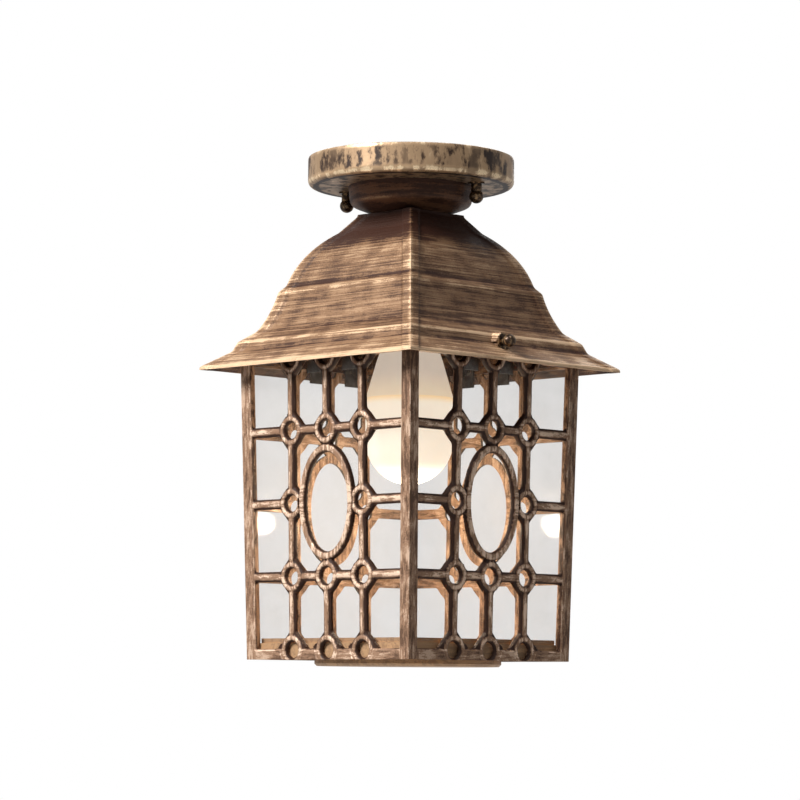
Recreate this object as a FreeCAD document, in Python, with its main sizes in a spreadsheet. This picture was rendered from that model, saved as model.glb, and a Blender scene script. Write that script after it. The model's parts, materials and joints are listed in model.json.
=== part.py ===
import FreeCAD, Part
import math
import os
import re

import Sketcher

# A ceiling lantern for a porch: a round canopy and a bowl carry a square bell
# roof, and a four-sided cage of cast frets with glass panes hangs in the roof
# round one screw-in bulb.
#
# Frame: +Z up, millimetres. The origin is the middle of the ceiling face, the
# lantern hangs below it, and the sides of the cage face along X and Y.

V = FreeCAD.Vector

SIZES = (
    # the strap on the ceiling
    ("bracket_length", 96, "strap along the line of its studs"),
    ("bracket_width", 18, "strap across"),
    ("bracket_thickness", 2, "strap sheet"),
    ("bracket_turn", 17, "degrees from +X to the line of the studs"),
    ("ceiling_hole_circle", 56, "pitch circle of the two ceiling screws"),
    ("ceiling_hole_diameter", 5, "hole for a ceiling screw"),
    ("cable_hole_diameter", 14, "hole for the house cable"),
    ("stud_circle", 77, "pitch circle of the two studs"),
    ("stud_diameter", 4, "stud thread"),
    ("stud_reach", 6.5, "stud below the canopy"),
    ("stud_flange_diameter", 8, "flange under the strap"),
    ("stud_flange_height", 1.2, "flange under the strap"),
    # the canopy and its two ball nuts
    ("canopy_diameter", 108.4, "round canopy outside"),
    ("canopy_depth", 15.4, "ceiling to the canopy's underside"),
    ("canopy_wall", 1.4, "spun sheet"),
    ("canopy_corner", 3, "outside rounding of the lower edge"),
    ("nut_washer_diameter", 8.6, "washer under a ball nut"),
    ("nut_washer_height", 0.8, "washer under a ball nut"),
    ("nut_neck_diameter", 5.6, "neck of a ball nut"),
    ("nut_neck_height", 4, "neck of a ball nut"),
    ("nut_ball_diameter", 7.4, "ball of a ball nut"),
    ("nut_bore_depth", 7, "threaded blind bore of a ball nut"),
    # the bowl between canopy and roof
    ("bowl_top_radius", 33, "at the canopy"),
    ("bowl_side_radius", 32, "at the foot of its upright side"),
    ("bowl_side_height", 9, "upright side"),
    ("bowl_corner_radius", 2.5, "rounding between side and underside"),
    ("bowl_corner_run", 1.5, "corner to the rounding's ends, inwards and upwards"),
    ("bowl_corner_fall", 1.12, "corner down to the rounding's lower end"),
    ("bowl_seat_radius", 19, "flat ring that sits on the roof"),
    ("bowl_height", 14.6, "canopy to roof"),
    ("bowl_wall", 2, "cast wall"),
    # the threaded tube down the middle
    ("tube_diameter", 10, "thread of the hollow tube"),
    ("tube_bore", 7.6, "wire way in the tube"),
    ("tube_nut_flats", 14, "across flats"),
    ("tube_nut_height", 3.5, "hexagon nut"),
    ("tube_nut_drop", 12.5, "roof top to the underside of the holder's lock nut"),
    ("tube_end", 0.6, "tube past its first and last nut"),
    ("tube_washer_diameter", 16, "lock washer"),
    ("tube_washer_height", 1, "lock washer"),
    # the square bell roof: half sides, and depths below its top
    ("roof_top_half", 18.5, "half side of the flat top"),
    ("roof_top_edge", 1, "upright edge of the flat top"),
    ("roof_top_wall", 3.5, "thickness of the flat top"),
    ("roof_kink_half", 25.5, "foot of the small upper cone"),
    ("roof_kink_depth", 9.8, "foot of the small upper cone"),
    ("roof_shoulder_radius", 50, "round shoulder"),
    ("roof_shoulder_half", 44.7, "foot of the shoulder"),
    ("roof_shoulder_depth", 38, "foot of the shoulder"),
    ("roof_ledge_half", 47.8, "outside of the ledge under the shoulder"),
    ("roof_ledge_depth", 41.4, "outside of the ledge under the shoulder"),
    ("roof_skirt_radius", 68, "hollow skirt"),
    ("roof_skirt_half", 55.5, "foot of the skirt"),
    ("roof_skirt_depth", 62.2, "foot of the skirt"),
    ("roof_step_half", 62.6, "outside of the step under the skirt"),
    ("roof_step_depth", 67.8, "outside of the step under the skirt"),
    ("roof_band_half", 64.6, "foot of the band"),
    ("roof_band_depth", 72.8, "foot of the band"),
    ("roof_eave_half", 76.7, "outside of the eave"),
    ("roof_eave_depth", 81, "top of the eave's edge"),
    ("roof_eave_edge", 1.5, "upright edge of the eave"),
    ("roof_wall", 2.4, "cast wall"),
    ("rib_width", 8.5, "hip rib, across the hip"),
    ("rib_rise", 1.2, "hip rib above each roof face"),
    # the cage: half sides at the outer faces of its frets
    ("cage_top_half", 62.85, "at the top edge of the frets"),
    ("cage_foot_half", 59.2, "at the foot of the frets"),
    ("cage_roof_gap", 0.6, "play between the cage and the roof"),
    ("fret_top_depth", 74.5, "roof top to the top edge of the frets"),
    ("fret_height", 159, "fret along its slope"),
    ("fret_depth", 3.3, "casting thickness"),
    ("fret_mitre_gap", 0.04, "half the joint between two frets"),
    ("post_width", 7, "corner post on each face"),
    ("post_bevel", 0.9, "bevel round the window of a fret"),
    ("top_rail_height", 6, "upper rail of a fret"),
    ("foot_rail_height", 5.4, "lower rail of a fret"),
    ("bar_width", 5.2, "lattice bar"),
    ("bar_recess", 0.4, "crown of a bar behind the face of the posts"),
    ("bar_crown", 1.4, "height of the round crown"),
    ("bar_pitch", 25.8, "upright bars"),
    ("row_first", 4.1, "top edge of a fret to its first row"),
    ("row_last", 4.9, "last row to the foot of a fret"),
    ("ring_radius", 8.25, "outside of a ring"),
    ("ring_hole_radius", 4.25, "hole of a ring"),
    ("ring_web_depth", 2.1, "thickness of the web round a ring"),
    ("oval_half_width", 19.9, "outside of the middle oval"),
    ("oval_bite", 0.45, "oval into the rings above and below it"),
    ("oval_rim", 4.4, "width of the oval's rim"),
    ("oval_bevel", 1.2, "bevel on both edges of the rim"),
    # the square collar in the roof that the cage hangs from
    ("collar_half", 60.25, "outside of the collar"),
    ("collar_height", 5, "collar above the frets"),
    ("collar_wall", 3.05, "collar sheet"),
    ("collar_leg_height", 4.6, "leg behind the frets"),
    ("collar_leg_inset", 1.05, "leg inside the collar's outer face"),
    ("collar_play", 0.1, "collar above the frets' top edge"),
    # small screws through the collar and the foot
    ("cage_screw_diameter", 3, "shank"),
    ("cage_screw_head", 5.4, "head"),
    ("cage_screw_head_height", 1.7, "head"),
    ("cage_screw_bite", 2, "depth of the thread in the fret"),
    ("cage_screw_offset", 12.9, "screw beside the middle of its side"),
    ("cage_screw_drop", 2.7, "frets' top edge to the upper screws"),
    # glass and clips
    ("glass_thickness", 2, "clear pane"),
    ("glass_corner_gap", 0.5, "pane to the next pane's face"),
    ("glass_edge_gap", 0.4, "pane to the collar's leg"),
    ("clip_width", 10, "spring clip"),
    ("clip_length", 12, "spring clip"),
    ("clip_thickness", 0.8, "spring clip"),
    # the floor of the cage
    ("floor_rise", 8.56, "frets' foot to the floor's upper face"),
    ("floor_thickness", 2.4, "floor sheet"),
    ("floor_flange_height", 8.2, "floor's upper face to the foot of its flange"),
    ("floor_flange_wall", 2, "flange under the floor"),
    ("floor_gap", 0.15, "flange to the frets"),
    ("floor_bead_height", 2.4, "bead that keeps the panes out"),
    ("floor_bead_width", 1.6, "bead"),
    ("dish_radius", 48.5, "round dish in the floor"),
    ("dish_drop", 11.6, "floor's upper face to the bottom of the dish"),
    ("dish_wall", 2.4, "dish"),
    ("dish_bevel", 1.2, "bevel of the dish's lower edge"),
    # thumb screws
    ("thumb_depth", 71.5, "roof top to the axis of the thumb screws"),
    ("thumb_boss_radius", 4.7, "cast boss on the band"),
    ("thumb_boss_half", 66.6, "face of the boss from the middle"),
    ("thumb_washer_radius", 4, "washer"),
    ("thumb_washer_height", 0.8, "washer"),
    ("thumb_shank_diameter", 3, "screw"),
    ("thumb_neck_diameter", 4, "neck below the ball"),
    ("thumb_neck_height", 1.2, "neck below the ball"),
    ("thumb_ball_diameter", 6.6, "ball head"),
    # lamp holder
    ("holder_radius", 20, "porcelain holder"),
    ("holder_cap_radius", 13, "flat top of its cap"),
    ("holder_cap_height", 16, "cap"),
    ("holder_cap_cone", 7, "sloping part of the cap"),
    ("holder_cap_miter", 1.2, "inner corners of the cap's slope, in and down"),
    ("holder_wall", 3, "cap wall"),
    ("holder_height", 35.5, "body below the cap"),
    ("holder_mouth_radius", 18.5, "body at its mouth"),
    ("holder_floor", 8, "floor that carries the contacts"),
    ("shell_radius", 14.4, "screw shell outside"),
    ("shell_wall", 1, "screw shell"),
    ("shell_inset", 1.5, "shell ends inside the mouth"),
    ("contact_radius", 4, "centre contact"),
    ("contact_height", 0.8, "centre contact"),
    ("contact_stem_radius", 1.5, "stem of the centre contact"),
    ("contact_stem_end", 1, "stem above the floor of the body"),
    ("holder_screw_radius", 9.5, "terminal screws from the middle"),
    ("holder_screw_diameter", 3, "terminal screws"),
    ("holder_screw_head", 5.6, "terminal screws"),
    ("holder_screw_head_height", 2.2, "terminal screws"),
    ("holder_screw_length", 6, "terminal screws"),
    # bulb
    ("bulb_contact_gap", 0.3, "bulb's tip to the centre contact"),
    ("bulb_tip_radius", 4.5, "contact tip"),
    ("bulb_tip_height", 1.2, "contact tip"),
    ("bulb_tip_flat", 3.15, "radius of the tip's flat"),
    ("bulb_tip_slope", 0.84, "sloping rim of the tip"),
    ("bulb_insulator_radius", 9, "black insulator"),
    ("bulb_insulator_height", 3, "black insulator"),
    ("bulb_cap_height", 22.6, "screw cap"),
    ("bulb_cap_taper", 2, "sloping upper edge of the cap"),
    ("bulb_cap_wall", 0.6, "screw cap"),
    ("bulb_housing_height", 29, "cap to the seam"),
    ("bulb_housing_flare", 9, "steep upper part"),
    ("bulb_housing_neck", 14, "radius at the cap"),
    ("bulb_housing_waist", 17.2, "radius below the steep part"),
    ("bulb_radius", 23, "greatest radius"),
    ("bulb_diffuser_height", 45, "seam to the lowest point"),
    ("bulb_wall", 1.4, "plastic wall"),
    ("bulb_plate_height", 1.6, "light board"),
    ("bulb_plate_gap", 0.8, "light board to the housing"),
    ("bulb_play", 0.1, "radial play of the cap in its shell"),
    # terminal block and wires in the canopy
    ("block_length", 30, "along the strap"),
    ("block_width", 14, "across the strap"),
    ("block_height", 9, "above the canopy's floor"),
    ("block_offset", 27, "middle of the block from the axis"),
    ("block_pitch", 9.5, "poles"),
    ("block_hole_diameter", 3.4, "wire holes"),
    ("block_hole_drop", 4, "block's top to its wire holes"),
    ("block_screw_diameter", 3, "clamp screws"),
    ("block_screw_offset", 3.6, "clamp screws beside the middle"),
    ("block_screw_rise", 0.5, "clamp screws above the block"),
    ("wire_diameter", 2, "insulated wire"),
    ("wire_offset", 1.7, "wire from the axis inside the tube"),
    ("wire_gap", 0.1, "wire to the screw that holds it"),
    ("wire_headroom", 0.6, "wire under the strap"),
    ("earth_screw_offset", 16, "earth screw from the axis"),
    ("earth_screw_head", 7, "earth screw"),
    ("earth_screw_head_height", 2.2, "earth screw"),
    # fits
    ("thread_play", 0.05, "radial play of a thread"),
    ("hole_play", 0.2, "radial play of a clearance hole"),
)

document = FreeCAD.newDocument("porch_lantern")
sheet = document.addObject("Spreadsheet::Sheet", "Sizes")
nodes = []


def fill_sheet():
    for row, (name, number, note) in enumerate(SIZES, 1):
        sheet.set(f"A{row}", name)
        sheet.set(f"B{row}", str(number))
        sheet.setAlias(f"B{row}", name)
        sheet.set(f"C{row}", note)
    document.recompute()


def bound(expression):
    """The expression with each size's name pointed at the sheet."""
    return re.sub(r"[a-z]+(?:_[a-z]+)+", lambda found: "Sizes." + found.group(0), expression)


def value(expression):
    """The expression's number, for geometry that starts from it."""
    return float(sheet.evalExpression(bound(expression)))


# ---------------------------------------------------------------- sketches


def point_constraint(sketch, geometry, end, x, y):
    """Holds one point of a sketch at (x, y), both expressions."""
    if x == "0":
        sketch.addConstraint(Sketcher.Constraint("PointOnObject", geometry, end, -2))
    else:
        made = sketch.addConstraint(
            Sketcher.Constraint("DistanceX", -1, 1, geometry, end, value(x))
        )
        sketch.setExpression(f"Constraints[{made}]", bound(x))
    if y == "0":
        sketch.addConstraint(Sketcher.Constraint("PointOnObject", geometry, end, -1))
    else:
        made = sketch.addConstraint(
            Sketcher.Constraint("DistanceY", -1, 1, geometry, end, value(y))
        )
        sketch.setExpression(f"Constraints[{made}]", bound(y))


def arc_between(start, finish, radius, side):
    """The short arc from start to finish, turning left or right."""
    chord = finish - start
    middle = (start + finish) / 2
    left = V(-chord.y, chord.x, 0).normalize()
    reach = math.sqrt(max(radius**2 - (chord.Length / 2) ** 2, 0))
    centre = middle + left * reach * (1 if side == "left" else -1)
    angles = [math.atan2(p.y - centre.y, p.x - centre.x) for p in (start, finish)]
    if side == "right":
        angles.reverse()
    if angles[1] < angles[0]:
        angles[1] += 2 * math.pi
    return Part.ArcOfCircle(Part.Circle(centre, V(0, 0, 1), radius), *angles)


def draw_outline(sketch, corners, arcs):
    """Closed outline. arcs gives {corner: (radius, side)} for a round stretch
    from that corner to the next one; the rest is straight."""
    points = [V(value(x), value(y), 0) for x, y in corners]
    ends = []
    for index, start in enumerate(points):
        finish = points[(index + 1) % len(points)]
        if index in arcs:
            radius, side = arcs[index]
            sketch.addGeometry(arc_between(start, finish, value(radius), side), False)
            ends.append((1, 2) if side == "left" else (2, 1))
        else:
            sketch.addGeometry(Part.LineSegment(start, finish), False)
            ends.append((1, 2))
    count = len(points)
    for index in range(count):
        following = (index + 1) % count
        sketch.addConstraint(
            Sketcher.Constraint("Coincident", index, ends[index][1], following, ends[following][0])
        )
    for index, (x, y) in enumerate(corners):
        point_constraint(sketch, index, ends[index][0], x, y)
    for index, (radius, _) in arcs.items():
        made = sketch.addConstraint(Sketcher.Constraint("Radius", index, value(radius)))
        sketch.setExpression(f"Constraints[{made}]", bound(radius))


def draw_circles(sketch, circles):
    for x, y, radius in circles:
        centre = V(value(x), value(y), 0)
        made = sketch.addGeometry(Part.Circle(centre, V(0, 0, 1), value(radius)), False)
        point_constraint(sketch, made, 3, x, y)
        held = sketch.addConstraint(Sketcher.Constraint("Radius", made, value(radius)))
        sketch.setExpression(f"Constraints[{held}]", bound(radius))


def sketch_on(body, plane, offset=None):
    """An empty sketch on one of the body's own planes, or offset from it."""
    sketch = body.newObject("Sketcher::SketchObject", body.Name + "_sketch")
    support = next(item for item in body.Origin.OriginFeatures if item.Role == plane)
    sketch.AttachmentSupport = [(support, "")]
    sketch.MapMode = "FlatFace"
    if offset:
        sketch.setExpression("AttachmentOffset.Base.z", bound(offset))
    return sketch


def outline(body, plane, corners, arcs=None, offset=None):
    sketch = sketch_on(body, plane, offset)
    draw_outline(sketch, corners, arcs or {})
    return sketch


def circles(body, plane, rounds, offset=None):
    sketch = sketch_on(body, plane, offset)
    draw_circles(sketch, rounds)
    return sketch


# ---------------------------------------------------------------- features


def new_body(label):
    return document.addObject("PartDesign::Body", label)


def revolve(body, corners, arcs=None):
    """The half section, x from the axis and y up, turned about Z."""
    sketch = outline(body, "XZ_Plane", corners, arcs)
    feature = body.newObject("PartDesign::Revolution", body.Name + "_turning")
    feature.Profile = sketch
    feature.ReferenceAxis = (sketch, ["V_Axis"])
    feature.Angle = 360
    return feature


def pad(body, sketch, length, side="One side", reverse=False):
    feature = body.newObject("PartDesign::Pad", body.Name + "_pad")
    feature.Profile = sketch
    feature.setExpression("Length", bound(length))
    feature.SideType = side
    feature.Reversed = reverse
    return feature


def cut_through(body, sketch):
    """A pocket through the whole body, both ways from its sketch."""
    feature = body.newObject("PartDesign::Pocket", body.Name + "_pocket")
    feature.Profile = sketch
    feature.Type = "ThroughAll"
    feature.SideType = "Symmetric"
    return feature


def pocket(body, sketch, length, upward):
    """A pocket of a given depth, down or up from a level sketch."""
    feature = body.newObject("PartDesign::Pocket", body.Name + "_pocket")
    feature.Profile = sketch
    feature.setExpression("Length", bound(length))
    feature.Reversed = upward
    return feature


def turned_piece(label, corners, arcs=None):
    body = new_body(label)
    revolve(body, corners, arcs)
    return body


def rectangle(half_x, top, bottom):
    """Corners of an upright rectangle about the middle."""
    return [(f"-({half_x})", top), (f"-({half_x})", bottom), (half_x, bottom), (half_x, top)]


def square(half):
    return rectangle(half, half, f"-({half})")


def place(piece, x="0", y="0", z="0", axis=V(0, 0, 1), angle="0"):
    """Moves and turns a piece, each by an expression."""
    base = V(value(x), value(y), value(z))
    piece.Placement = FreeCAD.Placement(base, FreeCAD.Rotation(axis, value(angle)))
    for name, expression in (("x", x), ("y", y), ("z", z)):
        if expression != "0":
            piece.setExpression(f"Placement.Base.{name}", bound(expression))
    if re.search("[a-z]", angle):
        piece.setExpression("Placement.Rotation.Angle", bound(angle))
    return piece


def group(label, members):
    """Several solids as one sub-part."""
    made = document.addObject("Part::Compound", label)
    made.Links = members
    return made


def copy_at(source, label, **where):
    """A copy of a piece in another place."""
    return place(group(label, [source]), **where)


def cylinder(label, radius, height, **where):
    made = document.addObject("Part::Cylinder", label)
    made.setExpression("Radius", bound(radius))
    made.setExpression("Height", bound(height))
    return place(made, **where)


def cut(label, base, tool):
    made = document.addObject("Part::Cut", label)
    made.Base = base
    made.Tool = tool
    return made


def fuse(label, members):
    made = document.addObject("Part::MultiFuse", label)
    made.Shapes = members
    return made


def common(label, members):
    made = document.addObject("Part::MultiCommon", label)
    made.Shapes = members
    return made


def node(piece, label):
    """Marks a finished sub-part; its label is its file's name."""
    piece.Label = label
    nodes.append(piece)
    return piece


def strap_node(piece, label):
    """A finished sub-part that lies along the strap, so it turns with it."""
    return node(place(piece, angle="bracket_turn"), label)


# ------------------------------------------------------ levels on the axis

CANOPY_UNDER = "-canopy_depth"
CANOPY_FLOOR = "(-canopy_depth + canopy_wall)"
BOWL_UNDER = "(-canopy_depth - bowl_height)"
ROOF_UNDER = f"({BOWL_UNDER} - roof_top_wall)"
TUBE_HOLE = "(tube_diameter / 2 + hole_play)"
TUBE_THREAD = "(tube_diameter / 2 + thread_play)"
HOLDER_TOP = f"({BOWL_UNDER} - tube_nut_drop - tube_nut_height)"
HOLDER_SPLIT = f"({HOLDER_TOP} - holder_cap_height)"
HOLDER_FLOOR = f"({HOLDER_SPLIT} - holder_floor)"
HOLDER_MOUTH = f"({HOLDER_SPLIT} - holder_height)"
CONTACT_FACE = f"({HOLDER_FLOOR} - contact_height)"
FRET_TOP = f"({BOWL_UNDER} - fret_top_depth)"
THUMB_LEVEL = f"({BOWL_UNDER} - thumb_depth)"
UPPER_SCREWS = f"({FRET_TOP} - cage_screw_drop)"
LEAN = "(atan((cage_top_half - cage_foot_half) / fret_height))"
FLOOR_DEPTH = f"(fret_height * cos({LEAN}) - floor_rise)"
FLOOR_TOP = f"({FRET_TOP} - {FLOOR_DEPTH})"
FLOOR_HALF = "(cage_foot_half - fret_depth - floor_gap)"
LOWER_SCREWS = f"({FLOOR_TOP} - (floor_thickness + floor_flange_height) / 2)"
NEAR = 1e-6


def below_roof(depth):
    return f"({BOWL_UNDER} - ({depth}))"


# ------------------------------------------------------- strap and canopy


def ceiling_bracket():
    body = new_body("ceiling_bracket")
    plate = rectangle("bracket_length / 2", "bracket_width / 2", "-(bracket_width / 2)")
    pad(body, outline(body, "XY_Plane", plate), "bracket_thickness", reverse=True)
    rounds = [("0", "0", "cable_hole_diameter / 2")]
    for way in ("", "-"):
        rounds.append((f"{way}(ceiling_hole_circle / 2)", "0", "ceiling_hole_diameter / 2"))
        rounds.append((f"{way}(stud_circle / 2)", "0", "stud_diameter / 2 + thread_play"))
    rounds.append(("-earth_screw_offset", "0", "stud_diameter / 2 + thread_play"))
    cut_through(body, circles(body, "XY_Plane", rounds))
    strap_node(body, "ceiling_bracket")


def bracket_studs():
    radius = "stud_diameter / 2"
    under = "-bracket_thickness"
    flange = "(-bracket_thickness - stud_flange_height)"
    stud = turned_piece("stud", [
        ("0", "0"),
        (radius, "0"),
        (radius, under),
        ("stud_flange_diameter / 2", under),
        ("stud_flange_diameter / 2", flange),
        (radius, flange),
        (radius, "(-canopy_depth - stud_reach)"),
        ("0", "(-canopy_depth - stud_reach)"),
    ])
    pair = [
        copy_at(stud, "stud_right", x="stud_circle / 2"),
        copy_at(stud, "stud_left", x="-stud_circle / 2"),
    ]
    strap_node(group("bracket_studs", pair), "bracket_studs")


def canopy():
    body = new_body("canopy")
    radius = "canopy_diameter / 2"
    inside = "(canopy_diameter / 2 - canopy_wall)"
    corner = "canopy_corner"
    revolve(body, [
        (TUBE_HOLE, CANOPY_UNDER),
        (f"({radius} - {corner})", CANOPY_UNDER),
        (radius, f"({CANOPY_UNDER} + {corner})"),
        (radius, "0"),
        (inside, "0"),
        (inside, f"({CANOPY_UNDER} + {corner})"),
        (f"({radius} - {corner})", CANOPY_FLOOR),
        (TUBE_HOLE, CANOPY_FLOOR),
    ], {1: (corner, "left"), 5: (f"({corner} - canopy_wall)", "right")})
    hole = "stud_diameter / 2 + hole_play"
    rounds = [("stud_circle / 2", "0", hole), ("-stud_circle / 2", "0", hole)]
    cut_through(body, circles(body, "XY_Plane", rounds))
    strap_node(body, "canopy")


def ball_nuts():
    """Two washers and two ball nuts, each a moving part of its own."""
    top = f"({CANOPY_UNDER} - nut_washer_height)"
    neck = "nut_neck_diameter / 2"
    ball = "nut_ball_diameter / 2"
    bore = "(stud_diameter / 2 + thread_play)"
    join = f"(sqrt(({ball}) ^ 2 - ({neck}) ^ 2))"
    centre = f"({top} - nut_neck_height - {join})"
    washer = turned_piece("nut_washer", [
        ("(stud_diameter / 2 + hole_play)", CANOPY_UNDER),
        ("nut_washer_diameter / 2", CANOPY_UNDER),
        ("nut_washer_diameter / 2", top),
        ("(stud_diameter / 2 + hole_play)", top),
    ])
    nut = turned_piece("ball_nut", [
        (bore, top),
        (neck, top),
        (neck, f"({top} - nut_neck_height)"),
        (ball, centre),
        ("0", f"({centre} - {ball})"),
        ("0", f"({top} - nut_bore_depth)"),
        (bore, f"({top} - nut_bore_depth)"),
    ], {2: (ball, "right"), 3: (ball, "right")})
    for side, way in (("right", ""), ("left", "-")):
        where = f"{way}stud_circle / 2"
        for source, name in ((washer, "ball_nut_washer"), (nut, "ball_nut")):
            piece = copy_at(source, f"{name}_{side}_place", x=where)
            strap_node(group(f"{name}_{side}", [piece]), f"{name}_{side}")


# ----------------------------------------------------- bowl, tube and nuts


def neck_bowl():
    side = f"({CANOPY_UNDER} - bowl_side_height)"
    floor = f"({BOWL_UNDER} + bowl_wall)"
    body = turned_piece("neck_bowl", [
        ("bowl_top_radius", CANOPY_UNDER),
        ("(bowl_top_radius - bowl_wall)", CANOPY_UNDER),
        ("(bowl_side_radius - bowl_wall)", side),
        ("bowl_seat_radius", floor),
        (TUBE_HOLE, floor),
        (TUBE_HOLE, BOWL_UNDER),
        ("bowl_seat_radius", BOWL_UNDER),
        ("(bowl_side_radius - bowl_corner_run)", f"({side} - bowl_corner_fall)"),
        ("bowl_side_radius", f"({side} + bowl_corner_run)"),
    ], {7: ("bowl_corner_radius", "left")})
    node(body, "neck_bowl")


def threaded_tube():
    radius = "tube_diameter / 2"
    top = f"({CANOPY_FLOOR} + tube_washer_height + tube_nut_height + tube_end)"
    bottom = f"({HOLDER_TOP} - holder_wall - tube_end)"
    body = turned_piece("threaded_tube", [
        ("tube_bore / 2", top),
        (radius, top),
        (radius, bottom),
        ("tube_bore / 2", bottom),
    ])
    node(body, "threaded_tube")


def tube_nuts_and_washers():
    """A nut and washer in the canopy, the same under the roof, and the lock
    nut on the lamp holder."""
    prism = document.addObject("Part::Prism", "nut_blank")
    prism.Polygon = 6
    prism.setExpression("Circumradius", bound("tube_nut_flats / sqrt(3)"))
    prism.setExpression("Height", bound("tube_nut_height"))
    nut = cut("tube_nut", prism, cylinder("nut_bore", TUBE_THREAD, "tube_nut_height"))
    disc = cylinder("washer_blank", "tube_washer_diameter / 2", "tube_washer_height")
    washer = cut("tube_washer", disc, cylinder("washer_bore", TUBE_HOLE, "tube_washer_height"))
    in_canopy = f"({CANOPY_FLOOR} + tube_washer_height)"
    in_roof = f"({ROOF_UNDER} - tube_washer_height - tube_nut_height)"
    levels = (in_canopy, in_roof, HOLDER_TOP)
    nuts = [copy_at(nut, f"tube_nut_{i}", z=level) for i, level in enumerate(levels)]
    node(group("tube_nuts", nuts), "tube_nuts")
    levels = (CANOPY_FLOOR, f"({ROOF_UNDER} - tube_washer_height)")
    washers = [copy_at(washer, f"tube_washer_{i}", z=level) for i, level in enumerate(levels)]
    node(group("tube_washers", washers), "tube_washers")


# -------------------------------------------------------------------- roof


def mirrored(corners, arcs):
    """A right-hand outline joined to its mirror image across the axis."""
    count = len(corners)
    left = [(f"-({x})", y) for x, y in reversed(corners)]
    both = dict(arcs)
    for index, arc in arcs.items():
        both[2 * count - 2 - index] = arc
    return corners + left, both


def roof_outline(grow):
    """Half outline of a roof face from its top down, moved out by grow."""
    corners = [
        (f"(roof_top_half + {grow})", BOWL_UNDER),
        (f"(roof_top_half + {grow})", below_roof("roof_top_edge")),
        (f"(roof_kink_half + {grow})", below_roof("roof_kink_depth")),
        (f"(roof_shoulder_half + {grow})", below_roof("roof_shoulder_depth")),
        (f"(roof_ledge_half + {grow})", below_roof("roof_ledge_depth")),
        (f"(roof_skirt_half + {grow})", below_roof("roof_skirt_depth")),
        (f"(roof_step_half + {grow})", below_roof("roof_step_depth")),
        (f"(roof_band_half + {grow})", below_roof("roof_band_depth")),
        (f"(roof_eave_half + {grow})", below_roof("roof_eave_depth")),
        (f"(roof_eave_half + {grow})", below_roof("roof_eave_depth + roof_eave_edge")),
    ]
    return corners, {2: ("roof_shoulder_radius", "right"), 4: ("roof_skirt_radius", "left")}


# How far the corners of the space under the roof stand in from the roof's own
# corners, in wall thicknesses, so that the wall keeps its thickness on slopes.
TOP_SHARE = 0.3
KINK_SHARE = 0.7
FOOT_SHARE = 0.3
SKIRT_SHARE = 0.5
STEP_SHARE = 1.2


def roof_hollow():
    """Half outline of the space under the roof, open at the eave."""
    wall = "roof_wall"
    slope = "((roof_step_depth - roof_skirt_depth) / (roof_step_half - roof_skirt_half))"
    pocket = "(collar_half + cage_roof_gap)"
    seat = below_roof("fret_top_depth - cage_roof_gap")
    step = f"roof_skirt_depth + ({pocket} - roof_skirt_half) * {slope} + {wall} * {STEP_SHARE}"
    corners = [
        (f"(roof_top_half - {wall} * {TOP_SHARE})", ROOF_UNDER),
        (f"(roof_kink_half - {wall} * {KINK_SHARE})",
         below_roof(f"roof_kink_depth + {wall} * {KINK_SHARE}")),
        (f"(roof_shoulder_half - {wall})", below_roof(f"roof_shoulder_depth + {wall} * {FOOT_SHARE}")),
        (f"(roof_ledge_half - {wall})", below_roof(f"roof_ledge_depth + {wall} * {FOOT_SHARE}")),
        (f"(roof_skirt_half - {wall})", below_roof(f"roof_skirt_depth + {wall} * {SKIRT_SHARE}")),
        (pocket, below_roof(step)),
        (pocket, seat),
        ("(cage_top_half + cage_roof_gap)", seat),
        ("roof_eave_half", below_roof("roof_eave_depth + roof_eave_edge")),
        ("roof_eave_half", below_roof("roof_eave_depth + roof_eave_edge * 2")),
    ]
    arcs = {1: ("(roof_shoulder_radius - roof_wall)", "right"),
            3: ("(roof_skirt_radius + roof_wall)", "left")}
    return corners, arcs


def square_bell(label, half_outline):
    """The outline drawn out along Y and along X: what both share is a solid
    with four equal faces and mitred hips."""
    corners, arcs = mirrored(*half_outline)
    runs = []
    for plane in ("XZ_Plane", "YZ_Plane"):
        body = new_body(f"{label}_{plane[:2]}")
        pad(body, outline(body, plane, corners, arcs), "4 * roof_eave_half", side="Symmetric")
        runs.append(body)
    return common(label, runs)


def hip_slabs():
    """Two upright slabs across the diagonals, as wide as a hip rib."""
    depth = "canopy_depth + bowl_height + roof_eave_depth + 2 * roof_eave_edge"
    slabs = []
    for name, angle in (("hip_slab_one", "45"), ("hip_slab_two", "135")):
        body = new_body(name)
        plate = rectangle("2 * roof_eave_half", "rib_width / 2", "-rib_width / 2")
        pad(body, outline(body, "XY_Plane", plate), depth, reverse=True)
        slabs.append(place(body, angle=angle))
    return fuse("hip_slabs", slabs)


def roof():
    faces = square_bell("roof_faces", roof_outline("0"))
    ribbed = square_bell("roof_ribbed", roof_outline("rib_rise"))
    ribs = common("hip_ribs", [ribbed, hip_slabs()])
    bosses = [
        cylinder(f"thumb_boss_{way}", "thumb_boss_radius", "thumb_boss_half", z=THUMB_LEVEL,
                 axis=V(0, 1, 0), angle=angle)
        for way, angle in (("right", "90"), ("left", "-90"))
    ]
    outside = fuse("roof_outside", [faces, ribs] + bosses)
    tools = [square_bell("roof_inside", roof_hollow())]
    tools.append(cylinder("roof_tube_hole", TUBE_HOLE, "2 * bowl_height", z=below_roof("bowl_height")))
    for way, angle in (("right", "90"), ("left", "-90")):
        turn = {"axis": V(0, 1, 0), "angle": angle}
        sign = "" if way == "right" else "-"
        tools.append(cylinder(f"spot_face_{way}", "thumb_boss_radius", "roof_eave_half",
                              x=f"{sign}thumb_boss_half", z=THUMB_LEVEL, **turn))
        tools.append(cylinder(f"thumb_hole_{way}", "thumb_shank_diameter / 2 + thread_play",
                              "roof_eave_half", z=THUMB_LEVEL, **turn))
    node(cut("roof", outside, group("roof_cuts", tools)), "roof")


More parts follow.
